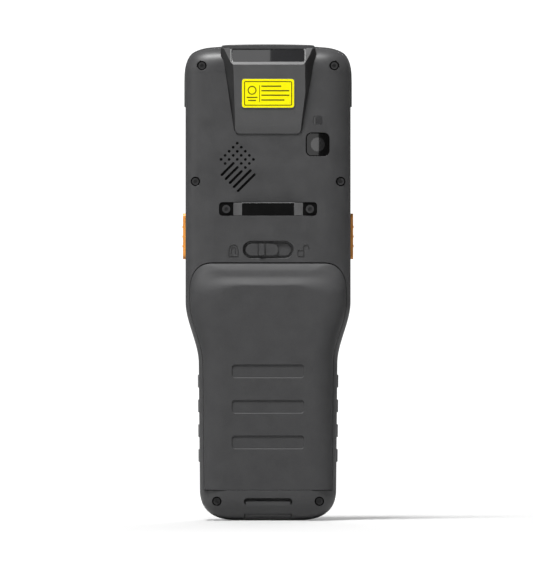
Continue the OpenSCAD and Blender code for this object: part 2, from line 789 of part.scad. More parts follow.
module pack_body() {
    inner = seam_side(seam_step, pack_draft);
    skin(concat([ring(inner, level_depths(inner, -pack_in))],
        [for (k = [0:pack_levels]) pack_ring(pack_level(k / pack_levels))]));
}

module battery_cover() {
    color([0.29, 0.29, 0.3]) {
        difference() {
            pack_body();
            slab(-6.2, 0) polygon(both_sides([for (p = seam_side(2, 4.5)) [p[0], max(p[1], pack_lo + 1.8)]]));
            block([-crown_half + 1.5, -pack_d + crown_wall, pack_lo + 2.2], [crown_half - 1.5, -5, pack_hi - pack_slope - 3]);
            for (k = [0:2]) translate([0, 0, groove_top_z - k * groove_pitch])
                slab(-far, -pack_d + groove_d) rounded(groove_w, groove_h, 0.9);
            block([bolt_x0 - 0.6, -pocket_y0, pocket_z], [bolt_x1 + latch_travel + 0.6, -pocket_y1, pack_hi + 1]);
            block([bolt_x0 - 1, -pocket_y1 - 0.1, keeper_top], [bolt_x1 + latch_travel + 1, 1, pack_hi + 2]);
        }
        for (side = [0, 1]) mirror([side, 0, 0])
            block([tab_x0, -tab_y0, pack_lo - tab_drop], [tab_x1, -tab_y1, pack_lo + 1]);
    }
}

tray_t = 1.4;
cell_half = 16.4;
cell_hi = pack_hi - pack_slope - 6;
module battery_tray() {
    color([0.15, 0.15, 0.16]) difference() {
        slab(-pack_in - tray_t, -pack_in)
            polygon(both_sides([for (p = seam_side(2.1, 4.6)) [p[0], max(p[1], pack_lo + 1.9)]]));
        block([-9.2, -far, bay_contact_z - 1.5], [9.2, 0, bay_contact_z + 1.5]);
    }
}

module battery_cell() {
    color([0.35, 0.45, 0.6])
        block([-cell_half, -pack_d + crown_wall + 0.1, pack_lo + 3], [cell_half, -pack_in - tray_t, cell_hi]);
}

bay_contact_z = 102;
module battery_contacts() {
    color([0.8, 0.65, 0.3]) {
        block([-9.1, -pack_in - tray_t, bay_contact_z - 1.4], [9.1, -pack_in - 0.6, bay_contact_z + 1.4]);
        for (k = [-2:2]) block([k * 3.6 - 1.2, -pack_in - 0.6, bay_contact_z - 1.4],
            [k * 3.6 + 1.2, -pack_in, bay_contact_z + 1.4]);
    }
}

module bay_contacts() {
    color([0.75, 0.6, 0.3]) {
        block([-10.2, -bay_floor, bay_contact_z - 2.2], [10.2, 2, bay_contact_z + 2.2]);
        for (k = [-2:2]) translate([k * 3.6, 0, bay_contact_z]) rod(0.6, -pack_in + 0.05, -bay_floor);
    }
}

module battery_seal() {
    color([0.12, 0.12, 0.12]) slab(-bay_floor - 0.3, -bay_floor) difference() {
        polygon(both_sides([for (p = seam_side(0.8, 1.3)) [p[0], max(p[1], pack_lo + 0.8)]]));
        polygon(both_sides([for (p = seam_side(1.9, 2.5)) [p[0], max(p[1], pack_lo + 1.9)]]));
    }
}

// ---------------------------------------------------------------- inside

main_front = 2;
main_back = main_front + 1.2;
module mid_frame() {
    color([0.7, 0.7, 0.72])
    difference() {
        union() {
            slab(frame_y - frame_t, frame_y) polygon(outline(3));
            for (x = [-20, 20]) for (z = [head_room + 8, total_l - 30])
                translate([x, 0, z]) rod(2, -main_front, frame_y - frame_t);
        }
        at_screws() rod(boss_r + 0.3, -1, far);
        for (side = [0, 1]) mirror([side, 0, 0])
            block([body_w / 2 - 6, -1, button_z - 11.5], [far, far, button_z + 11.5]);
        block([-usb_w / 2 - 1, -1, -1], [usb_w / 2 + 1, far, 9]);
    }
}

module main_board() {
    color([0.05, 0.3, 0.15])
    difference() {
        slab(-main_back, -main_front) polygon(upper_outline(7.5, head_room + 2));
        at_screws() rod(post_r + 0.3, -far, far);
    }
}

module keypad_board() {
    color([0.05, 0.3, 0.15]) difference() {
        translate([0, 0, (pad_lo + pad_hi) / 2 - 3]) slab(frame_y, board_y)
            rounded(grip_end_w - 8, pad_hi - pad_lo + 9, 2);
        at_screws() rod(boss_r + 0.3, -1, far);
    }
}

module keypad_mat() {
    color([0.2, 0.2, 0.2]) translate([0, 0, (pad_lo + pad_hi) / 2 - 2.5])
        slab(board_y, mat_y) rounded(grip_end_w - 8, pad_hi - pad_lo + 7.5, 2);
}

module display_module() {
    color([0.1, 0.1, 0.12]) translate([0, 0, (glass_lo + glass_hi) / 2])
        slab(frame_y, front_d - glass_t) rounded(display_w, glass_hi - glass_lo - 2 * display_margin, 0.9);
}

module touch_glass() {
    color([0.03, 0.03, 0.04]) translate([0, 0, (glass_lo + glass_hi) / 2])
        slab(front_d - glass_t, front_d) rounded(glass_w, glass_hi - glass_lo, glass_r - 0.1);
}

module earpiece_mesh() {
    color([0.05, 0.05, 0.05]) translate([0, 0, face_mid_z]) slab(front_d - 1, front_d - 0.6) stadium(11.9, 1.7);
}

module indicator_light() {
    color([0.8, 0.9, 0.8]) translate([11, 0, face_mid_z]) {
        rod(0.9, front_inner, front_d - 0.1);
        rod(1.8, front_inner - 0.8, front_inner);
    }
}

// Shape of a side button or of its opening, between two places across
module button_shape(x0, x1, gap) {
    translate([x0, button_y, button_z]) rotate([90, 0, 90]) linear_extrude(height = x1 - x0)
        rounded(button_h + 2 * gap, button_l + 2 * gap, button_r);
}

button_out = 1.15;
module side_button() {
    inner = body_w / 2 - side_wall;
    button_shape(inner - 0.2, body_w / 2 + button_out, 0);
    button_shape(inner - 1, inner - 0.2, 0.7);
    for (k = [-1:1]) translate([body_w / 2 + button_out - 0.55, button_y, button_z - 0.1 + k * 4.2])
        rotate([90, 0, 0]) translate([0, 0, -1.6]) cylinder(r = 0.8, h = 3.2);
}

module side_button_left() {
    color([0.98, 0.65, 0.2]) mirror([1, 0, 0]) side_button();
}

module side_button_right() {
    color([0.98, 0.65, 0.2]) side_button();
}

module side_switches() {
    inner = body_w / 2 - 6;
    color([0.6, 0.6, 0.6]) for (side = [0, 1]) mirror([side, 0, 0])
        block([inner, button_y - 1.8, button_z - 4], [body_w / 2 - side_wall - 2.1, button_y + 1.6, button_z + 4]);
}

module usb_socket() {
    color([0.7, 0.7, 0.72]) translate([0, usb_y, 0.5]) difference() {
        linear_extrude(height = 7.5) stadium(usb_w, usb_h);
        translate([0, 0, -1]) linear_extrude(height = 6.5) difference() {
            stadium(usb_w - 0.7, usb_h - 0.7);
            square([usb_w - 3, 0.7], center = true);
        }
    }
}

module dock_contacts() {
    color([0.85, 0.7, 0.3]) for (x = dock_xs) translate([x, usb_y, 0.2]) cylinder(r = 0.88, h = 3);
}

module vibration_motor() {
    color([0.6, 0.6, 0.62]) translate([-14, 0, head_room - 6]) rod(4, 0.6, frame_y - frame_t);
}

module key_cap(name) {
    k = key_of(name);
    color(name == "key_scan" ? [0.98, 0.6, 0.15] : [0.2, 0.2, 0.21])
    translate([k[0], 0, k[1]]) {
        slab(flange_y, front_d + key_rise) rounded(k[2], k[3], k[4] - 0.2);
        slab(flange_y - flange_t, flange_y) rounded(k[2] + 2 * flange, k[3] + 2 * flange, k[4]);
    }
}

rear_housing();
front_housing();
top_bumper();
side_grips();
scanner_hood();
scan_window();
hood_plate();
scan_engine();
scan_lens();
scan_bracket();
camera_window();
camera_module();
flash_window();
speaker();
speaker_mesh();
strap_bar();
strap_screws();
casing_screws();
latch_slider();
latch_bolt();
latch_guide();
battery_cover();
battery_tray();
battery_cell();
battery_contacts();
battery_seal();
bay_contacts();
case_gasket();
mid_frame();
main_board();
keypad_board();
keypad_mat();
display_module();
touch_glass();
earpiece_mesh();
indicator_light();
side_button_left();
side_button_right();
side_switches();
usb_socket();
dock_contacts();
vibration_motor();
for (name = KEYS) key_cap(name);
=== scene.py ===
"""Looks of a portable barcode data terminal that stands upright on its lower end, its back towards -Y.
Sizes inside the functions are millimetres; meshes are made in metres."""

from math import atan, cos, hypot, pi, radians, sin, sqrt

import bmesh
import bpy
from mathutils import Euler, Matrix, Vector


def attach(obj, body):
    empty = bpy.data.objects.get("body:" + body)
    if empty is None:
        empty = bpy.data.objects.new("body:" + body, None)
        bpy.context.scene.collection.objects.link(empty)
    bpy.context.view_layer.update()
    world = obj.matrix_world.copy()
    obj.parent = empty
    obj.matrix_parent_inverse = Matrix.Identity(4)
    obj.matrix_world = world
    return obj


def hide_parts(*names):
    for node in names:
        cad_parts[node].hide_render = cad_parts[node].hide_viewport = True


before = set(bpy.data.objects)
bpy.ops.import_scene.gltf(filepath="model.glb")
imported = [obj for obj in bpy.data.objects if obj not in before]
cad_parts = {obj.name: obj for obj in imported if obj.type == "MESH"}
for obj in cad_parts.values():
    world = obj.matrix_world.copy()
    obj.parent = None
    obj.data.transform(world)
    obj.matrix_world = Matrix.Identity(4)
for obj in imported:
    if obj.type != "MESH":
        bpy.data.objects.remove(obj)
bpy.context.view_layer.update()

bpy.ops.object.select_all(action="DESELECT")
MM = 0.001
FAR = 40
SIDES = (-1, 1)

# ---------------- sizes of the body

TOTAL_L = 207
FOOT_W = 59.2
GRIP_W = 60.4
BODY_W = 71.9
BODY_HALF = BODY_W / 2
WAIST_LO = 68
WAIST_HI = 95
BACK_D = 10.6
FRONT_D = 11.4
PACK_D = 15.2
PACK_LO = 13.1
PACK_HI = 111.9
PACK_RIM = 1.9
PACK_GAP = 0.1
BACK_ROUND = 13
BACK_N = 2.4
HEAD_HALF = 20.4
HEAD_Z = 206
HEAD_CORNER_Z = 190
HEAD_N = 3
FOOT_HALF = 14
FOOT_ROUND = 13.6
# How far the top has fallen at distances from the middle
SHOULDERS = ((14, 0), (20.4, 0.42), (24.4, 0.62), (27.5, 0.62), (29.7, 0.58), (31.4, 0.4), (33.1, 0.05),
             (35, -0.2))
KEY_BODIES = ["key_%s" % n for n in
              "1 2 3 4 5 6 7 8 9 star 0 hash scan up down left right power".split()]


def eased(t):
    t = min(1, max(0, t))
    return t * t * (3 - 2 * t)


def between(a, b, t):
    return a + (b - a) * t


def along(table, x):
    """Value at x of a smooth line through the (x, value) pairs of a table."""
    if x <= table[0][0]:
        return table[0][1]
    for k in range(len(table) - 1):
        (x0, y0), (x1, y1) = table[k], table[k + 1]
        if x <= x1:
            before = table[max(0, k - 1)]
            after = table[min(len(table) - 1, k + 2)]
            m0 = (y1 - before[1]) / (x1 - before[0]) * (x1 - x0)
            m1 = (after[1] - y0) / (after[0] - x0) * (x1 - x0)
            t = (x - x0) / (x1 - x0)
            return ((2 * t ** 3 - 3 * t * t + 1) * y0 + (t ** 3 - 2 * t * t + t) * m0
                    + (3 * t * t - 2 * t ** 3) * y1 + (t ** 3 - t * t) * m1)
    return table[-1][1]


def quarter(steps, first=0):
    """Angles of a quarter turn in equal steps."""
    return [pi / 2 * j / steps for j in range(first, steps + 1)]


def wide(a, n):
    return max(0, cos(a)) ** (2 / n)


def deep(a, n):
    return max(0, sin(a)) ** (2 / n)


def half_width(z):
    if z < WAIST_LO:
        return between(FOOT_W, GRIP_W, max(0, z) / WAIST_LO) / 2
    return between(GRIP_W, BODY_W, eased((z - WAIST_LO) / (WAIST_HI - WAIST_LO))) / 2


def back_depth(z):
    """Depth of the flat of the back, which falls from the foot to Z 60."""
    return between(PACK_D, BACK_D, eased((z - FOOT_ROUND) / 46.4))


def belt_depth(z):
    """Depth where the rounding of the back starts, 7.5 at the foot and 2 from Z 18 up."""
    return between(7.5, 2, eased(z / 18))


def surface_depth(inset, z):
    """Depth of the rear skin at a distance in from the side."""
    if inset >= BACK_ROUND:
        return back_depth(z)
    rise = (1 - (1 - inset / BACK_ROUND) ** BACK_N) ** (1 / BACK_N)
    return between(belt_depth(z), back_depth(z), rise)


STRAIGHT_ZS = ([between(FOOT_ROUND, WAIST_LO, j / 10) for j in range(1, 10)]
               + [between(WAIST_LO, WAIST_HI, j / 22) for j in range(23)] + [120, 145, 165, 180])


def head_corner(inset, top, steps):
    """Upper right corner of the body's outline, moved in by an inset and down from the top."""
    return [(HEAD_HALF + (BODY_HALF - inset - HEAD_HALF) * wide(a, HEAD_N),
             HEAD_CORNER_Z + (HEAD_Z - top - HEAD_CORNER_Z) * deep(a, HEAD_N)) for a in quarter(steps)]


def body_side(inset, lo, hi, steps=22):
    """Right half of the body's outline, moved in by an inset."""
    foot = [(FOOT_HALF + (half_width(FOOT_ROUND) - inset - FOOT_HALF) * deep(a, BACK_N),
             FOOT_ROUND - (FOOT_ROUND - lo) * wide(a, BACK_N)) for a in quarter(steps)]
    return foot + [(half_width(z) - inset, z) for z in STRAIGHT_ZS] + head_corner(inset, hi, steps)


def upper_side(inset, lo, steps=10):
    """Right half of the outline of the upper body alone."""
    return [(BODY_HALF - inset, lo)] + head_corner(inset, inset, steps)


def mirrored(side):
    """Whole outline from its right half."""
    return side + [(-x, z) for x, z in reversed(side)]


def ring_at(side, y):
    """Closed ring from a right half; y is one depth or one for each point."""
    ys = y if isinstance(y, list) else [y] * len(side)
    right = [(x, d, z) for (x, z), d in zip(side, ys)]
    return right + [(-x, d, z) for x, d, z in reversed(right)]


def arc(x, z, rx, rz, start, stop, steps):
    """Points of an arc between two angles in degrees, counted from +X towards +Z."""
    turns = (radians(between(start, stop, j / steps)) for j in range(steps + 1))
    return [(x + rx * cos(a), z + rz * sin(a)) for a in turns]


def rounded(w, h, r, grow=0, at=(0, 0), steps=8):
    """Points of a rounded rectangle about a place."""
    w, h, r = w / 2 + grow, h / 2 + grow, max(0.01, r + grow)
    points = []
    for k, (sx, sz) in enumerate([(1, 1), (-1, 1), (-1, -1), (1, -1)]):
        points += arc(at[0] + sx * (w - r), at[1] + sz * (h - r), r, r, 90 * k, 90 * k + 90, steps)
    return points


def round_hole(r, grow=0, at=(0, 0), steps=24):
    return arc(*at, r + grow, r + grow, 0, 360, steps)[:-1]


# ---------------- workshop


def pick_only(*pieces):
    bpy.ops.object.select_all(action="DESELECT")
    for piece in pieces:
        piece.select_set(True)
    bpy.context.view_layer.objects.active = pieces[0]


def fresh(name, add, **how):
    """New object from one of Blender's add operators, under its own name."""
    bpy.ops.object.select_all(action="DESELECT")
    add(**how)
    piece = bpy.context.active_object
    piece.name = piece.data.name = name
    return piece


def drawn_up(name, rings, strips=()):
    """Shell drawn up from a circle of points, ring by ring, and closed at both ends.
    An end named in strips is closed with bands across, so that it may be curved."""
    count = len(rings[0])
    piece = fresh(name, bpy.ops.mesh.primitive_circle_add, vertices=count, radius=0.01)
    bpy.ops.object.mode_set(mode="EDIT")
    bpy.ops.mesh.select_mode(type="EDGE")
    mesh = bmesh.from_edit_mesh(piece.data)
    order = mesh.verts.layers.int.new("order")
    for k, v in enumerate(mesh.verts):
        v[order] = k
    for level, ring in enumerate(rings):
        if level:
            bpy.ops.mesh.extrude_edges_move(TRANSFORM_OT_translate={"value": (0, 0, 0)})
        else:
            bpy.ops.mesh.select_all(action="SELECT")
        mesh = bmesh.from_edit_mesh(piece.data)
        order = mesh.verts.layers.int["order"]
        for v in mesh.verts:
            if v.select:
                v.co = Vector(ring[v[order]]) * MM
        if level in (0, len(rings) - 1):
            end = "first" if level == 0 else "last"
            if end in strips:
                at = {v[order]: v for v in mesh.verts if v.select}
                for j in range(count // 2 - 1):
                    mesh.faces.new([at[j], at[j + 1], at[count - 2 - j], at[count - 1 - j]])
            else:
                mesh.faces.new(sorted((v for v in mesh.verts if v.select), key=lambda v: v[order]))
        bmesh.update_edit_mesh(piece.data)
    bpy.ops.mesh.select_all(action="SELECT")
    bpy.ops.mesh.normals_make_consistent(inside=False)
    bpy.ops.object.mode_set(mode="OBJECT")
    piece.data.attributes.remove(piece.data.attributes["order"])
    return piece


def plate(name, points, y0, y1):
    """Flat piece of an outline in X and Z between two depths."""
    return drawn_up(name, [[(x, y, z) for x, z in points] for y in (y0, y1)])


def pressed(name, outline, floor, mouth, flare=0.25, fillet=0, out=-1):
    """Cutter for a pocket or a hole, with a rounded mouth and a small fillet at its floor.
    outline(grow) gives the points; floor and mouth are depths, and out is the way the mouth opens."""
    rings = []
    if fillet:
        for a in (0, 30, 60):
            a = radians(a)
            rings.append((fillet * (sin(a) - 1), floor + out * fillet * (1 - cos(a))))
    rings.append((0, floor + out * fillet))
    for a in (0, 22, 45, 67, 86):
        a = radians(a)
        rings.append((flare * (1 - cos(a)), mouth - out * flare * (1 - sin(a))))
    rings.append((flare, mouth + out * FAR))
    return drawn_up(name, [[(x, y, z) for x, z in outline(grow)] for grow, y in rings])


def pocket(name, w, h, r, at, *depths, steps=8, out=-1):
    """Cutter for a rounded rectangular pocket; depths go on to pressed, from floor to fillet."""
    return pressed(name, lambda grow: rounded(w, h, r, grow, at, steps), *depths, out=out)


def bored(name, r, at, *depths, steps=24, out=-1):
    """Cutter for a round hole, as pocket."""
    return pressed(name, lambda grow: round_hole(r, grow, at, steps), *depths, out=out)


def block(name, lo, hi):
    piece = fresh(name, bpy.ops.mesh.primitive_cube_add, size=1)
    for v in piece.data.vertices:
        v.co = [(hi[k] if v.co[k] > 0 else lo[k]) * MM for k in range(3)]
    return piece


def join(pieces):
    pick_only(*pieces)
    if len(pieces) > 1:
        bpy.ops.object.join()
    return pieces[0]


def modified(piece, kind, **settings):
    """Applies one modifier to a piece."""
    pick_only(piece)
    step = piece.modifiers.new("step", kind)
    for key, value in settings.items():
        setattr(step, key, value)
    bpy.ops.object.modifier_apply(modifier=step.name)
    return piece


def combine(piece, *tools, how="DIFFERENCE"):
    """Cuts tools out of a piece one after another, or unites or intersects it with them."""
    for tool in tools:
        modified(piece, "BOOLEAN", operation=how, solver="EXACT", object=tool)
        bpy.data.objects.remove(tool)
    return piece


def rounded_edges(piece, width, segments=2, angle=30):
    return modified(piece, "BEVEL", width=width * MM, segments=segments, limit_method="ANGLE",
                    angle_limit=radians(angle))


def even_shading(piece, angle=40):
    pick_only(piece)
    bpy.ops.object.shade_smooth_by_angle(angle=radians(angle))
    return modified(piece, "WEIGHTED_NORMAL", keep_sharp=True)


def copied(node, name):
    """Copy of a CAD node with its points merged and its flat faces whole."""
    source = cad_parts[node]
    piece = source.copy()
    piece.data = source.data.copy()
    piece.parent = None
    for key in list(piece.keys()):
        if key.startswith("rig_"):
            del piece[key]
    piece.name = piece.data.name = name
    bpy.context.scene.collection.objects.link(piece)
    piece.data.materials.clear()
    pick_only(piece)
    if piece.data.has_custom_normals:
        bpy.ops.mesh.customdata_custom_splitnormals_clear()
    bpy.ops.object.mode_set(mode="EDIT")
    bpy.ops.mesh.select_all(action="SELECT")
    bpy.ops.mesh.remove_doubles(threshold=0.000002)
    bpy.ops.mesh.dissolve_limited(angle_limit=radians(0.6))
    bpy.ops.object.mode_set(mode="OBJECT")
    return piece


def fitted(piece, finish, stands_for=(), body="terminal"):
    """The last step of every piece: its finish, the node it stands for and its body."""
    piece.data.materials.clear()
    piece.data.materials.append(FINISHES[finish])
    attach(piece, body)
    if stands_for:
        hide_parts(*stands_for)
    return piece


def tinted(piece, finish, chosen):
    """Gives another finish to the faces that chosen picks by their middle, in millimetres, and direction."""
    piece.data.materials.append(FINISHES[finish])
    for face in piece.data.polygons:
        x, y, z = (c / MM for c in face.center)
        if chosen(x, y, z, face.normal):
            face.material_index = len(piece.data.materials) - 1
    return piece


def shouldered(piece):
    """Lets the top of the body fall away slightly beside the hood."""
    for v in piece.data.vertices:
        v.co.z -= along(SHOULDERS, abs(v.co.x) / MM) * eased((v.co.z / MM - 199) / 6) * MM
    return piece


def dressed(node, name, finish, body="terminal", edge=0.2, segments=2):
    """Small moulded or machined part: the node's shape with small rounded edges."""
    piece = even_shading(rounded_edges(copied(node, name), edge, segments), 35)
    return fitted(piece, finish, [node], body)


# ---------------- finishes

FINISHES = {}


def feed(tree, target, inputs):
    """Gives a node's inputs their values; another node's output is linked."""
    for key, value in inputs.items():
        if isinstance(value, bpy.types.NodeSocket):
            tree.links.new(value, target.inputs[key])
        else:
            target.inputs[key].default_value = value


def new_node(tree, kind, inputs=(), out=0, **settings):
    """Adds a node and gives back one of its outputs."""
    step = tree.nodes.new("ShaderNode" + kind)
    for key, value in settings.items():
        setattr(step, key, value)
    feed(tree, step, dict(inputs))
    return step.outputs[out]


def worked(tree, how, *values):
    """Output of a math node."""
    return new_node(tree, "Math", enumerate(values), operation=how)


def new_finish(name):
    """Starts a finish and gives back its node tree, its shader and the place on the piece."""
    finish = FINISHES[name] = bpy.data.materials.new(name)
    finish.use_nodes = True
    tree = finish.node_tree
    return tree, tree.nodes["Principled BSDF"], new_node(tree, "TexCoord", out="Object")


def speckle(tree, place, scale, detail=2, rough=0.5, stretch=None):
    if stretch:
        place = new_node(tree, "Mapping", {"Vector": place, "Scale": stretch})
    return new_node(tree, "TexNoise", {"Vector": place, "Scale": scale, "Detail": detail,
                                       "Roughness": rough}, "Fac")


def spread(tree, source, low, high, from_low=0.3, from_high=0.7):
    return new_node(tree, "MapRange", {"Value": source, "From Min": from_low, "From Max": from_high,
                                       "To Min": low, "To Max": high}, "Result")


def greys(dark, light, blue=0.0):
    """Two greys, their blue changed by a little."""
    return (dark, dark, dark + blue), (light, light, light + blue)


def two_tones(tree, source, dark, light):
    return new_node(tree, "Mix", {"Factor": source, "A": (*dark, 1), "B": (*light, 1)}, "Result",
                    data_type="RGBA")


def raised(tree, source, strength, distance, under=None):
    relief = {"Strength": strength, "Distance": distance, "Height": source}
    if under:
        relief["Normal"] = under
    return new_node(tree, "Bump", relief)


def moulded(name, dark, light, rough=(0.38, 0.5), grain=5200, depth=0.000012, strength=0.5, sheen=0.0,
            shine=0.5):
    """Moulded plastic or rubber with a spark-eroded grain, faint clouding and softly rounded edges."""
    tree, shader, place = new_finish(name)
    cloud = speckle(tree, place, 140, 4, 0.55)
    fine = speckle(tree, place, grain * 0.55, 3, 0.6)
    mixed = worked(tree, "MULTIPLY_ADD", fine, 0.45, worked(tree, "MULTIPLY", cloud, 0.55))
    pits = new_node(tree, "TexVoronoi", {"Scale": grain, "Vector": place}, "Distance")
    soft_edge = new_node(tree, "Bevel", {"Radius": 0.00012}, samples=4)
    feed(tree, shader, {
        "Base Color": two_tones(tree, spread(tree, mixed, 0, 1, 0.36, 0.64), dark, light),
        "Roughness": spread(tree, cloud, *rough),
        "Specular IOR Level": shine,
        "Normal": raised(tree, worked(tree, "ADD", pits, fine), strength, depth, soft_edge)})
    if sheen:
        feed(tree, shader, {"Sheen Weight": sheen, "Sheen Roughness": 0.6})


def metal(name, dark, light, rough=(0.25, 0.42), metallic=1.0, lines=None):
    """Plated, machined or painted metal; lines stretches its marks along one way."""
    tree, shader, place = new_finish(name)
    marks = speckle(tree, place, 900, 4, 0.6, lines)
    feed(tree, shader, {
        "Base Color": two_tones(tree, spread(tree, speckle(tree, place, 160, 3), 0, 1), dark, light),
        "Roughness": spread(tree, marks, *rough),
        "Metallic": metallic,
        "Normal": raised(tree, marks, 0.25, 0.00001)})


def glossy(name, dark, light, rough=(0.03, 0.07), coat=1.0, see=0.0, shine=0.5):
    """Polished window or glass with the faintest waviness."""
    tree, shader, place = new_finish(name)
    wave = speckle(tree, place, 60)
    feed(tree, shader, {
        "Base Color": two_tones(tree, spread(tree, wave, 0, 1), dark, light),
        "Roughness": spread(tree, speckle(tree, place, 700, 3), *rough),
        "Specular IOR Level": shine,
        "Coat Weight": coat,
        "Coat Roughness": 0.02,
        "Transmission Weight": see,
        "Normal": raised(tree, wave, 0.05, 0.000005)})


def mesh_cloth(name):
    """Acoustic mesh: fine threads both ways."""
    tree, shader, place = new_finish(name)
    across, upright = (new_node(tree, "TexWave", {"Scale": 900, "Vector": place}, "Fac",
                                bands_direction=axis) for axis in "XZ")
    threads = worked(tree, "MULTIPLY", across, upright)
    feed(tree, shader, {
        "Base Color": two_tones(tree, threads, *greys(0.002, 0.012)),
        "Roughness": 0.8,
        "Normal": raised(tree, threads, 0.6, 0.00003)})


def circuit_board(name):
    """Solder mask with faint copper runs under it."""
    tree, shader, place = new_finish(name)
    upright = new_node(tree, "Mapping", {"Vector": place, "Rotation": (pi / 2, 0, 0)})
    runs = new_node(tree, "TexBrick", {
        "Vector": upright, "Scale": 220, "Mortar Size": 0.04, "Mortar": (0.03, 0.2, 0.09, 1),
        "Color1": (0.012, 0.11, 0.05, 1), "Color2": (0.016, 0.14, 0.065, 1)}, "Color")
    feed(tree, shader, {
        "Base Color": runs,
        "Roughness": spread(tree, speckle(tree, place, 800, 3), 0.25, 0.4),
        "Normal": raised(tree, runs.node.outputs["Fac"], 0.3, 0.00002)})


# Roughness alone, and roughness with the scale, depth and strength of the grain
SATIN = (0.32, 0.42)
RUBBER = ((0.55, 0.7), 3600, 0.00002, 0.7)
moulded("body_plastic", *greys(0.041, 0.051, 0.0012))
moulded("hood_plastic", *greys(0.062, 0.074, 0.0012))
moulded("pack_plastic", *greys(0.043, 0.053, 0.0012), (0.56, 0.66), shine=0.3)
moulded("front_plastic", *greys(0.036, 0.046, 0.0012))
moulded("bumper_rubber", (0.036, 0.037, 0.038), (0.047, 0.048, 0.049), *RUBBER, 0.1)
moulded("grip_rubber", *greys(0.13, 0.17, 0.002), *RUBBER, 0.15)
moulded("button_orange", (0.76, 0.29, 0.045), (0.85, 0.35, 0.06), (0.34, 0.46), 4200, 0.00001, 0.4)
moulded("inner_plastic", *greys(0.018, 0.026, 0.001), (0.45, 0.6))
moulded("seal_rubber", *greys(0.012, 0.02), (0.6, 0.75), 3000, 0.00002, 0.7)
moulded("key_rubber", *greys(0.022, 0.032, 0.002), (0.42, 0.55), 4200)
moulded("mat_rubber", (0.05, 0.05, 0.052), (0.075, 0.075, 0.078), (0.5, 0.65), 3000)
# Painted shade: near-black for the faces deep in the strap pocket, grille, screw bores and strap exit.
moulded("painted_shade_black", *greys(0.003, 0.005), (0.6, 0.75), shine=0.08)
moulded("strap_black", *greys(0.0012, 0.003), (0.5, 0.6), shine=0.1)
# Painted shade: dark grey for the hood's flanks, the strap's mouth and the latch groove.
moulded("painted_shade_grey", *greys(0.014, 0.02, 0.0005), (0.45, 0.58))
# Painted shade: a darker copy of the hood plastic for the up-facing frame round the window seat, toning down
# its lit highlight.
moulded("hood_rim_painted_shade", *greys(0.036, 0.044, 0.001), SATIN, shine=0.42)
# Painted highlights: lighter greys standing in for reflections on the strap bar's slopes and top edge and on
# the hood's window arms.
moulded("painted_highlight_dim", *greys(0.085, 0.105, 0.001), SATIN)
moulded("painted_highlight_bright", *greys(0.19, 0.22, 0.001), SATIN)
# Painted shade: darker grey standing in for the shading of the embossed padlock strokes.
moulded("padlock_painted_shade", *greys(0.022, 0.028, 0.0005))
moulded("rim_grey", (0.06, 0.07, 0.10), (0.08, 0.09, 0.13))
moulded("label_ink", (0.03, 0.028, 0.0), (0.045, 0.042, 0.0), (0.5, 0.6), shine=0.2)
moulded("legend_white", *greys(0.62, 0.72, -0.02), (0.4, 0.5))
metal("screw_black", *greys(0.03, 0.045, 0.001), (0.4, 0.55), 0.3)
metal("steel", *greys(0.42, 0.55, 0.01), (0.25, 0.4), lines=(1, 12, 1))
metal("cast_alloy", (0.48, 0.49, 0.5), (0.6, 0.61, 0.62), (0.42, 0.58))
metal("gold", (0.78, 0.52, 0.2), (0.9, 0.64, 0.28), (0.18, 0.3))
glossy("scan_glass", *greys(0.006, 0.009, 0.001), (0.004, 0.008))
glossy("camera_glass", *greys(0.0006, 0.001), (0.002, 0.005), 0.1, shine=0.15)
glossy("screen_glass", *greys(0.004, 0.007, 0.001))
glossy("flash_plastic", *greys(0.024, 0.032, 0.001), (0.25, 0.35), 0.3)
glossy("lens_glass", (0.05, 0.01, 0.03), (0.09, 0.02, 0.06))
glossy("lens_ring", *greys(0.009, 0.011, 0.0005), (0.002, 0.005), 0.2, shine=0.3)
glossy("light_pipe", (0.6, 0.72, 0.6), (0.7, 0.8, 0.7), (0.2, 0.3), 0.4, 0.3)
glossy("cell_film", (0.05, 0.10, 0.22), (0.07, 0.13, 0.27), (0.2, 0.3), 0.4)
glossy("plate_yellow", (1.0, 0.90, 0.0), (1.0, 0.94, 0.0), (0.4, 0.5), 0.0, shine=0.15)
mesh_cloth("speaker_cloth")
circuit_board("board_green")

# ---------------- rear housing

HOOD_FOOT_Z = 168.1
HOOD_TOP_HALF = 20.4
CAVITY_D = 8.4
STRAP_Z = 135.3
STRAP_SCREW_X = 18.2
STRAP_MOUTH_Z = 8.05
LATCH_Z = 117.65
CAMERA = (21.6, 163.4)
FLASH = (21.6, 173.8)
GRILLE = (-13.4, 163.9)
PITCH = 1.758
GRILLE_ROWS = ((0,), (-1, 1), (-2, 0, 2), (-3, -1, 1, 3), (-4, -2, 0, 2, 4), (-3, 1, 3), (2,))
GRILLE_SLOTS = ((-3.8, 7.8, 2.85), (-2.8, 8.8, 2.85), (-1.8, 9.8, 2.85), (-0.8, 10.8, 4.07),
                (0.2, 11.8, 4.07))
SCREWS = ((28.8, 197.7, 8.4), (31.6, 147.3, 7.3), (22.3, 8.2, 11.8))
PACK_ZS = [PACK_LO] + [z for z in STRAIGHT_ZS if z <= WAIST_HI]
SEAM_HALF = 24
SEAM_ROUND = 13
SEAM_CORNER_Z = PACK_HI - SEAM_ROUND
SEAM_N = 2.4


def seam_side(inset, top_inset, lift=0.0, steps=26):
    """Right half of the battery seam, from its lower end to the middle of its top."""
    side = [(half_width(z) - PACK_RIM - inset, z + (lift if z == PACK_LO else 0)) for z in PACK_ZS]
    return side + [(SEAM_HALF + (BODY_HALF - PACK_RIM - inset - SEAM_HALF) * wide(a, SEAM_N),
                    SEAM_CORNER_Z + (SEAM_ROUND - top_inset) * deep(a, SEAM_N)) for a in quarter(steps, 1)]


def seam_depths(side):
    """Depth of the rear skin along the seam."""
    return [surface_depth(min(BODY_HALF - x if z > WAIST_HI else PACK_RIM, BACK_ROUND), z) for x, z in side]


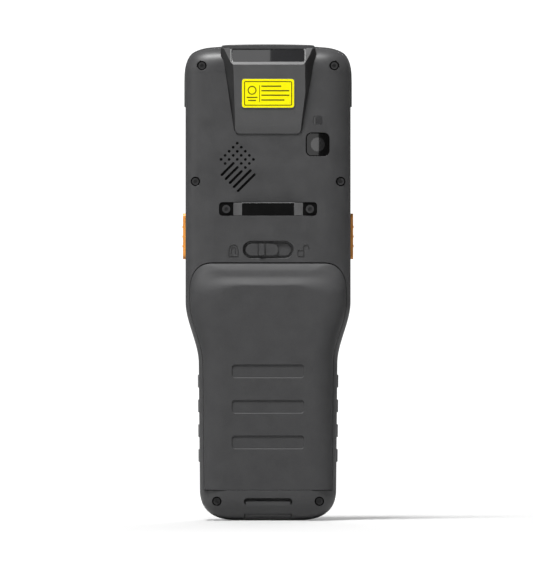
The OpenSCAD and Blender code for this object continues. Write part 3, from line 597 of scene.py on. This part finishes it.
def grille_tools():
    """Round holes and slanting slots of the speaker grille in one cutter."""
    depths = (-CAVITY_D + 1, -BACK_D, 0.12)
    tools = []
    for row, places in enumerate(GRILLE_ROWS):
        for place in places:
            at = (GRILLE[0] + place * PITCH, GRILLE[1] - row * PITCH)
            tools.append(bored("hole", 0.6, at, *depths, steps=20))
    half = sqrt(0.5)
    for x, z, run in GRILLE_SLOTS:
        length = run * PITCH * sqrt(2)
        middle = (GRILLE[0] + (x + run / 2) * PITCH, GRILLE[1] - (z - run / 2) * PITCH)

        def slanting(grow):
            flat = rounded(length + 1.05, 1.05, 0.52, grow, (0, 0), 5)
            return [(middle[0] + (px - pz) * half, middle[1] + (px + pz) * half) for px, pz in flat]

        tools.append(pressed("slot", slanting, *depths))
    return join(tools)


def in_the_dark(x, y, z, way):
    """Faces of the rear shell inside the strap pocket, the grille, the screw bores and the strap's exit; they
    get a near-black finish as painted shade.
    """
    if abs(x) < 21.5 and abs(z - STRAP_Z) < 3.1:
        return y > -BACK_D + 0.21
    if -25 < x < -1 and 148 < z < 166.5:
        return y > -BACK_D + 0.13
    if 9.75 < abs(x) < 10.6 and 1.4 < z < 2.9 and y > -12.3:
        return True
    return any(hypot(abs(x) - sx, z - sz) < 2.1 and y > -seat - 0.9 for sx, sz, seat in SCREWS)


def in_half_light(x, y, z, way):
    """Faces of the rear shell in the strap's mouth and in the groove round the latch's island; they get a
    dark grey finish as painted shade.
    """
    if abs(x) < 10.6 and 6.4 < z < 9.7:
        return -12 > y > 0.8 - surface_depth(BACK_ROUND, STRAP_MOUTH_Z)
    return (abs(x) < 11.4 and abs(z - LATCH_Z) < 4.1 and y > -BACK_D + 1.35
            and not (abs(x) < 5.7 and abs(z - LATCH_Z) < 1.7))


def rear_skin():
    """Closed shell of the rear housing, before anything is cut."""
    rings = [ring_at(body_side(0.15, 0.15, 0.15), 0.0), ring_at(body_side(0, 0, 0), -0.15)]
    for a in quarter(16):
        inset = BACK_ROUND * (1 - wide(a, BACK_N))
        side = body_side(inset, inset, inset * 0.8)
        crown = [0.0011 * max(0, abs(x) - 14) ** 2 * (1 if 96 < z < 195 else 0) for x, z in side]
        rings.append(ring_at(side, [-between(belt_depth(z), back_depth(z), deep(a, BACK_N)) + c * deep(a, 2)
                                    for (x, z), c in zip(side, crown)]))
    return drawn_up("rear_shell", rings, ("last",))


def pack_bay():
    """Cutter for the room behind the battery pack, with a rounded edge along its seam."""
    def seam(grow, drop):
        side = seam_side(-PACK_GAP - grow, -PACK_GAP - grow)
        return [(x, z - drop if z == PACK_LO else z) for x, z in side]

    depths = seam_depths(seam(0, PACK_GAP))
    rings = [ring_at(seam(0, PACK_GAP), -1.5)]
    for a in (0, 30, 60, 84):
        a = radians(a)
        grow = 0.3 * (1 - cos(a))
        rings.append(ring_at(seam(grow, PACK_GAP + grow / 4), [-d + 0.3 * (1 - sin(a)) for d in depths]))
    rings.append([(x, y - 12, z) for x, y, z in rings[-1]])
    return drawn_up("bay", rings, ("first", "last"))


def strap_way(shell):
    """Cuts the lower strap slot: its way through, its mouth with a lip and its exit."""
    foot = surface_depth(BACK_ROUND, STRAP_MOUTH_Z)
    combine(shell, block("strap_way", (-10.1, -12.4, 5), (10.1, -10.1, 8.5)),
            block("strap_way", (-10.1, -foot + 0.3, 8.2), (10.1, -10.1, 9.5)),
            block("strap_way", (-10.5, -11.6, -1), (10.5, -10.1, 5.1)))
    mouth = pocket("strap_mouth", 21, 3.1, 1.5, (0, STRAP_MOUTH_Z), -foot + 2.6, -foot, 0.3)
    combine(mouth, block("strap_lip", (-9.7, -foot + 0.75, 5), (9.7, -10, 8.15)))
    lower = plate("strap_exit", rounded(21, 1.3, 0.6, 0, (0, 2.15)), -11.3, -FAR)
    combine(lower, block("exit_lip", (-9.8, -12.4, 0), (9.8, -10, 5)),
            block("exit_lip", (-9.8, -FAR - 1, 0), (9.8, -10, 2.5)))
    combine(shell, mouth, lower)


def rear_housing():
    shell = rear_skin()
    # The room inside and the posts for the screws
    combine(shell, plate("room", mirrored(upper_side(2.2, 113.4)), 1, -4.5),
            plate("room", mirrored(upper_side(6, 113.8)), -2, -CAVITY_D))
    posts = [plate("post", round_hole(2.6, 0, (s * x, z)), -root, 0)
             for (x, z, seat), root in zip(SCREWS, (8.8, 5)) for s in SIDES]
    posts += [plate("post", round_hole(3, 0, (s * STRAP_SCREW_X, STRAP_Z)), -8.9, -4.6) for s in SIDES]
    combine(shell, join(posts), how="UNION")
    # What the hood, the pack, the strap bar and the latch lie in
    foot = [(13.3, HOOD_FOOT_Z), (14.8, HOOD_FOOT_Z + 1.5), (HOOD_TOP_HALF, 207.5)]
    combine(shell, plate("hood_room", mirrored(foot), -CAVITY_D, -FAR),
            block("hood_room", (-HOOD_TOP_HALF, -12, 203.6), (HOOD_TOP_HALF, -1, 208)), pack_bay(),
            pocket("strap_pocket", 42.6, 5.9, 1.45, (0, STRAP_Z), -BACK_D + 1.6, -BACK_D, 0.2, 0.2),
            pocket("latch_pocket", 22.05, 7.5, 3.749, (0, LATCH_Z), -BACK_D + 1.3, -BACK_D, 0.3, steps=14))
    groove = pocket("latch_groove", 21.95, 7.4, 3.699, (0, LATCH_Z), -BACK_D + 1.9, -BACK_D + 1.25, 0.05,
                    steps=14)
    combine(groove, plate("island", rounded(19.9, 5.35, 2.67, 0, (0, LATCH_Z), 14), -BACK_D - 3, -BACK_D + 3))
    combine(shell, groove, block("stem_room", (-5.3, -10.5, 116.25), (4.45, -4, 119.05)),
            block("bolt_room", (-8.4, -8.3, 110.9), (0.7, -6.3, 114.8)))
    # Camera, flash, speaker grille and screws
    combine(shell, pocket("camera_seat", 10.35, 10.35, 2.45, CAMERA, -9.1, -BACK_D, 0.25),
            plate("camera_hole", round_hole(3.6, 0, CAMERA), -11, -4),
            pocket("flash_seat", 4, 4, 0.95, FLASH, -4, -BACK_D, 0.12), grille_tools())
    for x, z, seat in SCREWS:
        top = -surface_depth(min(BACK_ROUND, half_width(z) - x), z)
        for s in SIDES:
            combine(shell, bored("bore", 2.05, (s * x, z), -seat, top - 0.05, 0.2, steps=28),
                    plate("screw_hole", round_hole(1.15, 0, (s * x, z), 20), -seat - 1, 1))
    # Threads of the strap bar, hooks of the pack, strap slot and battery contacts
    for s in SIDES:
        lo, hi = sorted((s * 12.3, s * 18.7))
        combine(shell, plate("strap_hole", round_hole(0.85, 0, (s * STRAP_SCREW_X, STRAP_Z), 16), -11, -5.4),
                block("tab_room", (lo, -12.2, 10.8), (hi, -9.3, 14.1)))
    strap_way(shell)
    combine(shell, block("contact_room", (-10.2, -2.5, 99.8), (10.2, 1, 104.2)))
    even_shading(shell, 38)
    fitted(shouldered(shell), "body_plastic", ["rear_housing"])
    # Painted shade: the recesses picked by in_the_dark turn near-black.
    tinted(shell, "painted_shade_black", in_the_dark)
    # Painted shade on the strap's mouth and the latch groove.
    tinted(shell, "painted_shade_grey", in_half_light)


# ---------------- battery pack

CROWN_LO = 88
CROWN_HI = PACK_HI - 9.8
CROWN_N = 2.6
CROWN_TOP = 7
# How far the pack has risen at shares of its upper slope, from the seam to the crown
PACK_SLOPE = ((0, 0), (0.09, 0.137), (0.2, 0.26), (0.3, 0.355), (0.4, 0.416), (0.5, 0.466),
              (0.61, 0.527), (0.71, 0.626), (0.81, 0.767), (0.92, 0.93), (1, 1))


def crown_x(z):
    """Half width of the pack's flat crown at a height."""
    straight = 18.5 + 0.8 * (half_width(min(z, 92)) - 30.2)
    if z <= CROWN_LO:
        return straight
    up = min(1, (z - CROWN_LO) / (CROWN_HI - CROWN_LO))
    return CROWN_TOP + (straight - CROWN_TOP) * (1 - up ** CROWN_N) ** (1 / CROWN_N)


def pack_level(t, steps=26):
    """Ring of the pack's back at a share of the way from the seam to the crown."""
    seam = seam_side(0, 0.3, 0.12, steps)
    crown_zs = PACK_ZS + [between(WAIST_HI, CROWN_HI, deep(a, SEAM_N)) for a in quarter(steps, 1)]
    a = pi / 2 * t
    level = []
    for k, ((x, z), crown_z, depth) in enumerate(zip(seam, crown_zs, seam_depths(seam))):
        share = eased((k - len(PACK_ZS) + 1) / steps)
        across = between(1 - wide(a, SEAM_N), t, share)
        out = between(deep(a, SEAM_N), along(PACK_SLOPE, t), share)
        level.append((between(x, crown_x(crown_z), across), -between(depth, PACK_D, out),
                      between(z, crown_z, across)))
    return level + [(-x, y, z) for x, y, z in reversed(level)]


def battery_cover():
    seam = seam_side(0, 0.3, 0.12)
    depths = seam_depths(seam)
    rings = [ring_at(seam_side(0.4, 0.9, PACK_GAP), -1.9), ring_at(seam, [-d + 0.3 for d in depths]),
             ring_at(seam_side(0.06, 0.36, 0.12), [-d + 0.1 for d in depths])]
    rings += [pack_level(t) for t in [0.02] + [k / 24 for k in range(1, 25)]]
    shell = drawn_up("pack_shell", rings, ("first", "last"))
    room = [(x, max(z, PACK_LO + 1.8)) for x, z in seam_side(2, 4.5, 0, 8)]
    combine(shell, plate("tray_room", mirrored(room), 1, -6.2),
            block("cell_room", (-17, -13.5, 15.3), (17, -5, 98.5)))
    for z in (64.75, 49.3, 33.85):
        combine(shell, pocket("groove", 31.25, 5.6, 1.3, (0, z), -PACK_D + 0.45, -PACK_D, 0.25, 0.25))
    combine(shell, block("keeper_room", (-8.6, -8.65, 109.8), (0.9, -6.1, 113)),
            block("keeper_room", (-9, -6.2, 110), (1.3, 1, 114)))
    tabs = []
    for s in SIDES:
        lo, hi = sorted((s * 12.5, s * 18.5))
        tabs.append(rounded_edges(block("tab", (lo, -12, 11), (hi, -10.2, 14.1)), 0.3))
    combine(shell, join(tabs), how="UNION")
    even_shading(shell, 38)
    fitted(shell, "pack_plastic", ["battery_cover"], "battery_pack")


# ---------------- scanner hood

FACET_TURN = atan(5.3 / 6.9)
PLATE_TURN = atan(2.7 / 26)
PLATE_Z = 185.6
# Depth and height along the hood's middle, from its foot to its top
HOOD_PROFILE = ((-7, 167), (-10.95, 167), (-10.95, HOOD_FOOT_Z), (-11.9, 172.5), (-14.6, 198.5),
                (-15.25, 204.8), (-9.3, 205.4), (-7, 205.4))


def placed(piece, turn, at):
    """Turns a piece about X and carries it to its place, all inside its mesh."""
    piece.data.transform(Matrix.Translation([c * MM for c in at]) @ Matrix.Rotation(turn, 4, "X"))
    return piece


def on_facet(piece):
    return placed(piece, -FACET_TURN, (0, -14.6, 198.5))


def on_plate(piece):
    return placed(piece, PLATE_TURN, (0, -between(11.9, 14.6, (PLATE_Z - 172.5) / 26), PLATE_Z))


def hood_outline(y):
    """Outline of the hood at a depth: it narrows outwards and has two round corners at its foot."""
    foot, top, r = 14.8 - 0.5 * (-y - BACK_D), HOOD_TOP_HALF - 0.9 * (-y - BACK_D), 2.4
    points = (arc(r - foot, HOOD_FOOT_Z + r, r, r, 180, 270, 8)
              + arc(foot - r, HOOD_FOOT_Z + r, r, r, 270, 360, 8) + [(top, TOTAL_L), (-top, TOTAL_L)])
    return [(x, y, z) for x, z in points]


def scanner_hood():
    hood = drawn_up("hood_shell", [hood_outline(y) for y in (-CAVITY_D, -17)])
    profile = drawn_up("profile", [[(x, y, z) for y, z in HOOD_PROFILE] for x in (-20.6, 20.6)])
    combine(hood, profile, how="INTERSECT")
    opening = mirrored([(-16.4, 20)] + arc(-13.8, 2, 2.6, 2.6, 180, 270, 8))
    facet = drawn_up("facet", [[(x * wider, y, z) for x, z in opening]
                               for y, wider in ((0.3, 1), (-12, 2.1))])
    combine(hood, on_facet(facet))
    arch = [(HOOD_TOP_HALF * k / 10, TOTAL_L - 0.35 * (k / 10) ** 2) for k in range(-9, 10)]
    end = [(HOOD_TOP_HALF, 202), (HOOD_TOP_HALF, 205.8), (HOOD_TOP_HALF - 0.5, 206.5)]
    lid = plate("lid", [(-x, z) for x, z in end] + arch + end[::-1], -9.3, -1)
    rounded_edges(lid, 0.4, 3, 50)
    combine(lid, block("under_lid", (-30, -12, 190), (30, 0, 202.6)))
    combine(hood, lid, how="UNION")
    combine(hood, on_facet(pocket("window_seat", 31.6, 6.9, 0.7, (0, 4.85), 1.6, 0.3, 0.2)),
            block("engine_room", (-12.6, -10.8, 174), (12.6, -5, 203)))
    even_shading(rounded_edges(hood, 0.35, 3, 14))
    fitted(hood, "hood_plastic", ["scanner_hood"])
    tinted(hood, "body_plastic", lambda x, y, z, way: z > 204.4 and way.y < -0.5)
    # Painted shade: the hood's outward flanks turn dark grey.
    tinted(hood, "painted_shade_grey", lambda x, y, z, way: way.x * x > 0.45 * abs(x) and abs(x) > 12 and z < 204.5)
    # Painted highlight on the inward faces of the arms beside the window.
    tinted(hood, "painted_highlight_dim", lambda x, y, z, way: way.x * x < -0.25 * abs(x) and abs(x) > 15
           and 197.5 < z < 206)
    # Painted shade on the up-facing frame below the window.
    tinted(hood, "hood_rim_painted_shade", lambda x, y, z, way: way.z > 0.2 and way.y < -0.3 and y < -12.1 and z < 204.2)


def scan_window():
    pane = on_facet(plate("window_pane", rounded(31.4, 6.7, 0.6, 0, (0, 4.85)), 1.6, 0.6))
    fitted(even_shading(rounded_edges(pane, 0.15)), "scan_glass", ["scan_window"])


def ribbon(name, rows):
    """Closed ring of a rectangular section, from the four lines along its corners."""
    piece = fresh(name, bpy.ops.mesh.primitive_circle_add, vertices=len(rows[0]), radius=0.01)
    mesh = bmesh.new()
    rows = [[mesh.verts.new([c * MM for c in point]) for point in row] for row in rows]
    for r in range(4):
        row, above = rows[r], rows[(r + 1) % 4]
        for k in range(len(row)):
            n = (k + 1) % len(row)
            mesh.faces.new([row[k], row[n], above[n], above[k]])
    bmesh.ops.recalc_face_normals(mesh, faces=mesh.faces)
    mesh.to_mesh(piece.data)
    mesh.free()
    return piece


def stroke(name, points, width, y0, y1, closed=False):
    """Flat line of one width through points, with mitred corners."""
    count = len(points)
    left, right = [], []
    for k, p in enumerate(points):
        a = points[k - 1] if k or closed else p
        b = points[(k + 1) % count] if k < count - 1 or closed else p
        d0, d1 = Vector((p[0] - a[0], p[1] - a[1])), Vector((b[0] - p[0], b[1] - p[1]))
        d0, d1 = (d0 if d0.length else d1).normalized(), (d1 if d1.length else d0).normalized()
        n = Vector((-d0.y - d1.y, d0.x + d1.x)).normalized()
        reach = width / 2 / max(0.4, n.dot(Vector((-d0.y, d0.x))))
        left.append((p[0] + n.x * reach, p[1] + n.y * reach))
        right.append((p[0] - n.x * reach, p[1] - n.y * reach))
    if not closed:
        return plate(name, left + right[::-1], y0, y1)
    return ribbon(name, [[(x, y, z) for x, z in side] for side, y in
                         ((left, y1), (left, y0), (right, y0), (right, y1))])


def hood_plate():
    """Yellow plate with a fine outline, and plain lines and a ring printed on it."""
    label = on_plate(plate("hood_label", rounded(22.7, 12.5, 1.1), 0, -0.3))
    fitted(even_shading(rounded_edges(label, 0.08)), "plate_yellow", ["hood_plate"])
    rim = on_plate(stroke("plate_rim", rounded(22.7, 12.5, 1.1, 0.12), 0.3, -0.24, 0.05, True))
    fitted(rim, "rim_grey")
    printed = (-0.32, -0.29)
    marks = [stroke("plate_print", rounded(20.5, 10.3, 0.5), 0.36, *printed, True),
             stroke("divider", [(-3.7, 3.5), (-3.7, -3.7)], 0.26, *printed)]
    for z, x0, x1 in ((3.15, -2.9, 5.7), (1.15, -2.9, 9.2), (-0.8, -2.9, 9.2), (-2.9, -2.9, 7.1)):
        marks.append(stroke("rule", [(x0, z), (x1, z)], 0.5, *printed))
    marks.append(stroke("ring", round_hole(1.7, 0, (-6.95, 1.35), 40), 0.42, *printed, True))
    for z, half in ((-1.75, 2.3), (-3.1, 1.7)):
        marks.append(stroke("rule", [(-6.95 - half, z), (-6.95 + half, z)], 0.45, *printed))
    fitted(on_plate(join(marks)), "label_ink")


# ---------------- windows, strap, latch


def camera_window():
    dressed("camera_window", "camera_pane", "camera_glass", edge=0.3, segments=3)
    ring = plate("camera_lens_ring", round_hole(3.05, 0, CAMERA, 48), -10.3, -10.372)
    fitted(even_shading(rounded_edges(ring, 0.03)), "lens_ring")
    dressed("flash_window", "flash_pane", "flash_plastic")


def strap_bar():
    bar = even_shading(rounded_edges(copied("strap_bar", "strap_loop"), 0.35, 3, 25), 35)
    fitted(bar, "strap_black", ["strap_bar"])
    # Painted highlights: the bar's left slope, right slope and top edge get lighter greys standing in for
    # reflections.
    tinted(bar, "painted_highlight_dim", lambda x, y, z, way: way.x < -0.3 and way.y < -0.3 and -16 < x < 0)
    tinted(bar, "painted_highlight_bright", lambda x, y, z, way: way.x > 0.3 and way.y < -0.3 and 0 < x < 16)
    tinted(bar, "painted_highlight_bright", lambda x, y, z, way: way.z > 0.2 and way.y < -0.15 and abs(x) < 13)
    bar.visible_shadow = False


def drive(r, lobe, x, z, y0, y1, steps=36):
    """Cutter for a six-lobed screw drive."""
    points = []
    for a in (2 * pi * j / steps for j in range(steps)):
        reach = r + lobe * cos(6 * a)
        points.append((x + reach * cos(a), z + reach * sin(a)))
    return plate("drive", points, y0, y1)


def screw_set(node, name, drives, head_r=None):
    """Black machine screws; with head_r their heads are drawn in to that radius."""
    heads = combine(copied(node, name), join(drives))
    if head_r:
        middles = [(s * x, z) for x, z, seat in SCREWS for s in SIDES]
        for dot in heads.data.vertices:
            x, z = min(middles, key=lambda at: hypot(dot.co.x / MM - at[0], dot.co.z / MM - at[1]))
            r = hypot(dot.co.x / MM - x, dot.co.z / MM - z)
            if r > head_r:
                dot.co.x += (x * MM - dot.co.x) * (1 - head_r / r)
                dot.co.z += (z * MM - dot.co.z) * (1 - head_r / r)
    even_shading(rounded_edges(heads, 0.12, 2, 50), 35)
    fitted(heads, "screw_black", [node])


def screws():
    screw_set("casing_screws", "casing_screw_set", [drive(0.86, 0.14, s * x, z, -seat - 0.5, -seat - 5)
                                                    for x, z, seat in SCREWS for s in SIDES], 1.5)
    screw_set("strap_screws", "strap_screw_set",
              [drive(0.82, 0.13, s * STRAP_SCREW_X, STRAP_Z, -10.6, -16) for s in SIDES])


def latch():
    slider = copied("latch_slider", "latch_thumb_slide")
    for x in (-4.15, -1.25):
        combine(slider, block("finger_groove", (x - 0.28, -12, 114.9), (x + 0.28, -9.95, 120.4)))
    even_shading(rounded_edges(slider, 0.18), 35)
    fitted(slider, "body_plastic", ["latch_slider"], "latch")


def padlocks():
    """Two embossed padlocks beside the latch, one closed and one open; their strokes are a darker grey as
    painted shade.
    """
    depths = (-BACK_D + 0.25, -BACK_D - 0.2)
    closed = [stroke("bow", [(-17.05, 114.9)] + arc(-15.1, 117.9, 1.95, 2, 180, 0, 12) + [(-13.15, 114.9)],
                     0.36, *depths, True),
              stroke("case", [(-16, 115.9)] + arc(-15.1, 117.7, 0.9, 1.1, 180, 0, 8) + [(-14.2, 115.9)],
                     0.32, *depths)]
    opened = [stroke("case", rounded(2.6, 2.6, 0.35, 0, (14.2, 116.2)), 0.36, *depths, True),
              stroke("bow", [(15.3, 117.5), (15.3, 118.5)] + arc(16.5, 118.6, 1.2, 1.25, 162, 18, 8)
                     + [(17.7, 118.4), (17.7, 117.9)], 0.36, *depths)]
    for marks, name in ((closed, "padlock_closed"), (opened, "padlock_open")):
        mark = join(marks)
        mark.name = mark.data.name = name
        fitted(even_shading(rounded_edges(mark, 0.1, 2, 40)), "padlock_painted_shade")


# ---------------- front

GLASS_AT = (0, 148)
EAR_Z = 200.5
PORT_Y = 3.4
POWER_X = 20.5
LEGEND = (FRONT_D + 0.98, FRONT_D + 1.03)


def key_places():
    """Name, place, size and corner of each key, read from the front, where +X is on the left."""
    places = {name: ((1 - k % 3) * 17, 17 + (3 - k // 3) * 11.5, 13, 7.6, 2.4)
              for k, name in enumerate(KEY_BODIES[:12])}
    places.update(
        key_scan=(0, 74.5, 20, 13, 6), key_up=(0, 86.1, 15, 6, 2.6), key_down=(0, 62.9, 15, 6, 2.6),
        key_left=(20.5, 74.5, 8, 12, 3), key_right=(-20.5, 74.5, 8, 12, 3),
        key_power=(POWER_X, 86.1, 8, 6, 2.6))
    return places


def front_housing():
    rings = [ring_at(body_side(0.15, 0.15, 0.15), 0.0), ring_at(body_side(0, 0, 0), 0.15)]
    for a in quarter(12):
        inset = 4.4 * (1 - wide(a, 2))
        rings.append(ring_at(body_side(inset, inset, inset), between(7, FRONT_D, deep(a, 2))))
    shell = drawn_up("front_shell", rings, ("last",))
    # The room inside, bosses for the screws and seats for the bumper, the grips and the side buttons
    combine(shell, plate("room", mirrored(body_side(2.2, 2.2, 2.2, 8)), -1, 8),
            plate("pad_room", rounded(52.2, 86.1, 2, 0, (0, 52.05)), -1, 9.6))
    bosses = [plate("boss", round_hole(2.3, 0, (s * x, z)), 0, 8.5) for x, z, seat in SCREWS for s in SIDES]
    combine(shell, join(bosses), how="UNION")
    band = plate("band", mirrored(upper_side(-2, 170)), 1, 6.8)
    combine(band, plate("core", mirrored(upper_side(1, 169)), 0, 8),
            block("low", (-60, -5, 100), (60, 20, 179.8)))
    combine(shell, band)
    button = rounded(4.9, 20.2, 1.75, 0, (3.6, 123.45))
    for s in SIDES:
        grip = [(half_width(22) - 0.8, 22), (half_width(66.5) - 0.8, 66.5), (40, 66.5), (40, 22)]
        combine(shell, plate("grip_seat", [(s * x, z) for x, z in grip], 1.2, 6.6),
                drawn_up("button_room", [[(s * x, y, z) for y, z in button] for x in (31.7, 38)]))
    # Display, keys, earpiece, indicator light and the ports of the lower end
    combine(shell, pocket("glass_seat", 61.2, 94.2, 4, GLASS_AT, FRONT_D - 1.7, FRONT_D, out=1),
            plate("display_room", rounded(56.2, 88.2, 1, 0, GLASS_AT), 1, FRONT_D))
    holes = [pocket("key_hole", w + 0.7, h + 0.7, r, (x, z), 1, FRONT_D, 0.3, out=1)
             for x, z, w, h, r in key_places().values()]
    ports = [rounded(9.2, 3.4, 1.69)]
    docks = [round_hole(0.9, 0, (x, 0)) for x in (-12.4, -9.4, 9.4, 12.4)]
    combine(shell, join(holes), pocket("ear_slot", 12, 1.8, 0.89, (0, EAR_Z), 1, FRONT_D, 0.2, out=1),
            bored("light_hole", 0.95, (11, EAR_Z), 1, FRONT_D, 0.12, out=1))
    for group in (ports, docks):
        combine(shell, join([drawn_up("port", [[(x, PORT_Y + y, z) for x, y in hole] for z in (-1, 4)])
                             for hole in group]))
    even_shading(shell, 38)
    fitted(shouldered(shell), "front_plastic", ["front_housing"])


def written(text, size, at, body, name):
    """Flat legend on the front of a key, read from +Y."""
    legend = fresh(name, bpy.ops.object.text_add)
    legend.data.body = text
    legend.data.size = size * MM
    legend.data.extrude = 0.00003
    legend.data.align_x = "CENTER"
    legend.data.align_y = "CENTER"
    bpy.ops.object.convert(target="MESH")
    legend = bpy.context.active_object
    legend.name = legend.data.name = name
    x, y = ((min(reach) + max(reach)) / 2 for reach in
            ([v.co[k] for v in legend.data.vertices] for k in (0, 1)))
    turn = Euler((pi / 2, 0, pi), "XYZ").to_matrix().to_4x4()
    legend.data.transform(Matrix.Translation((-x, -y, 0)))
    legend.data.transform(Matrix.Translation((at[0] * MM, (FRONT_D + 1.0) * MM, at[1] * MM)) @ turn)
    fitted(legend, "legend_white", body=body)


def keys():
    places = key_places()
    for name in places:
        finish, slot = "key_rubber", "key_plastic"
        if name == "key_scan":
            finish, slot = "button_orange", "orange_plastic"
        dressed(name, name + "_cap", finish, name, 0.45, 3)
    for name, mark in zip(KEY_BODIES[:12], "123456789*0#"):
        written(mark, 5.4 if mark != "*" else 7, places[name][:2], name, name + "_mark")
    for k, name in enumerate(("key_up", "key_left", "key_down", "key_right")):
        x, z = places[name][:2]
        turn = (0, pi / 2, pi, -pi / 2)[k]
        points = [(x + 1.6 * sin(turn + a), z + 1.6 * cos(turn + a)) for a in (0, 2.1, -2.1)]
        fitted(plate(name + "_mark", points, *LEGEND), "legend_white", body=name)
    mark = join([stroke("power_ring", arc(POWER_X, 86, 1.5, 1.5, 55, -235, 24), 0.4, *LEGEND),
                 stroke("power_bar", [(POWER_X, 86.3), (POWER_X, 87.8)], 0.4, *LEGEND)])
    mark.name = mark.data.name = "key_power_mark"
    fitted(mark, "legend_white", body="key_power")


def carried_nodes():
    """Inner parts keep their CAD shape and take a real finish."""
    inner = {
        "inner_plastic": "scan_engine camera_module speaker battery_tray display_module",
        "steel": "scan_bracket side_switches vibration_motor", "lens_glass": "scan_lens",
        "gold": "battery_contacts bay_contacts dock_contacts", "speaker_cloth": "speaker_mesh earpiece_mesh",
        "board_green": "main_board keypad_board", "seal_rubber": "battery_seal case_gasket",
        "screw_black": "latch_bolt", "body_plastic": "latch_guide", "cell_film": "battery_cell",
        "cast_alloy": "mid_frame", "mat_rubber": "keypad_mat"}
    for finish, nodes in inner.items():
        for node in nodes.split():
            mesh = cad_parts[node].data
            mesh.materials.clear()
            mesh.materials.append(FINISHES[finish])


def small_parts():
    shouldered(dressed("top_bumper", "top_bumper_band", "bumper_rubber", edge=0.3, segments=3))
    dressed("side_grips", "side_grip_bands", "grip_rubber", edge=0.3, segments=3)
    for side in ("left", "right"):
        dressed("side_button_" + side, "side_button_%s_cap" % side, "button_orange",
                side + "_button", 0.35, 3)
    dressed("touch_glass", "touch_screen_glass", "screen_glass", edge=0.3, segments=3)
    dressed("indicator_light", "indicator_pipe", "light_pipe", edge=0.1)
    dressed("usb_socket", "usb_shell", "steel", edge=0.08)


# ---------------- studio

AIR = 0.15
GLOSS_AIR = 0.2
KEY = 45
LEFT = 1.6
FRONT = 3
REAR = 45
WINDOW_CARD = 1.15
CAMERA_CARD = 3.4
LENS = 900
SENSOR = 36
WHITE = (1, 1, 1, 1)


def pale_floor():
    """Plain pale floor that keeps the shadow. It is a little brighter to the camera than to other rays, and
    fades to white away from the terminal."""
    tree, shader, place = new_finish("studio_floor")
    seen = new_node(tree, "LightPath", out="Is Camera Ray")
    away = new_node(tree, "VectorMath", {0: place, 1: (0, 0.5, 0)}, "Value", operation="DISTANCE")
    feed(tree, shader, {
        "Base Color": two_tones(tree, seen, *greys(0.42, 0.52)),
        "Roughness": spread(tree, speckle(tree, place, 6), 0.6, 0.7),
        "Specular IOR Level": 0.1,
        "Emission Color": WHITE,
        "Emission Strength": worked(tree, "MULTIPLY", seen, spread(tree, away, 0.08, 0.7, 0.3, 1.0))})
    floor = fresh("studio_floor", bpy.ops.mesh.primitive_plane_add, size=2.4, location=(0, -0.5, -0.0002))
    floor.data.materials.append(FINISHES["studio_floor"])


def facing(at, target, axis):
    """Turn that points an axis from a place at a target."""
    return (Vector(target) - Vector(at)).to_track_quat(axis, "Y").to_euler()


def softbox(name, at, target, size, power, height=None):
    lamp = fresh(name, bpy.ops.object.light_add, type="AREA", location=at)
    lamp.data.shape = "RECTANGLE"
    lamp.data.size = size
    lamp.data.size_y = height or size
    lamp.data.energy = power
    lamp.rotation_euler = facing(at, target, "-Z")
    return lamp


def card(name, at, target, w, h, strength):
    """Reflector card that only gloss can see."""
    panel = fresh(name, bpy.ops.mesh.primitive_plane_add, size=1)
    panel.scale = (w, h, 1)
    panel.location = at
    panel.rotation_euler = facing(at, target, "Z")
    tree, shader = new_finish(name)[:2]
    tree.nodes.remove(shader)
    feed(tree, tree.nodes["Material Output"], {"Surface": new_node(tree, "Emission", {"Strength": strength})})
    panel.data.materials.append(FINISHES[name])
    for ray in ("camera", "diffuse", "shadow", "transmission"):
        setattr(panel, "visible_" + ray, False)


def studio():
    world = bpy.data.worlds.new("studio_air")
    bpy.context.scene.world = world
    world.use_nodes = True
    tree = world.node_tree
    rays = new_node(tree, "LightPath").node.outputs
    level = AIR
    for ray, more in (("Glossy", GLOSS_AIR - AIR), ("Transmission", GLOSS_AIR), ("Camera", 1)):
        level = worked(tree, "MULTIPLY_ADD", rays["Is %s Ray" % ray], more, level)
    feed(tree, tree.nodes["Background"], {"Color": WHITE, "Strength": level})
    softbox("key_light", (-0.33, -0.62, 1.6), (0, 0, 0.1), 0.5, KEY)
    softbox("left_strip", (-1.2, -0.5, 0.3), (0, 0, 0.12), 0.3, LEFT, 1.2)
    softbox("front_fill", (-0.3, -2.0, 0.25), (0, 0, 0.1), 1.0, FRONT).visible_glossy = False
    softbox("display_light", (0.12, 1.8, 1.0), (0, 0, 0.1), 1.0, REAR).visible_glossy = False
    card("window_card", (-0.0738, -0.26, 1.2), (-0.0738, -0.26, 0), 0.15, 0.32, WINDOW_CARD)
    card("camera_card", (0.0177, -1.51, 0.178), (0.0177, 0, 0.178), 0.02, 0.06, CAMERA_CARD)


def camera():
    lens = bpy.data.cameras.new("camera")
    lens.lens = LENS
    lens.sensor_width = SENSOR
    lens.clip_end = 50
    eye = bpy.data.objects.new("camera", lens)
    bpy.context.scene.collection.objects.link(eye)
    eye.location = (-0.00068, -0.2462 * LENS / SENSOR, 0.10333)
    eye.rotation_euler = (pi / 2, 0, 0)
    bpy.context.scene.camera = eye


camera()
rear_housing()
battery_cover()
scanner_hood()
scan_window()
hood_plate()
camera_window()
strap_bar()
screws()
latch()
padlocks()
front_housing()
small_parts()
keys()
carried_nodes()
pale_floor()
studio()
view = bpy.context.scene.view_settings
view.view_transform = "Standard"
bpy.ops.object.select_all(action="DESELECT")
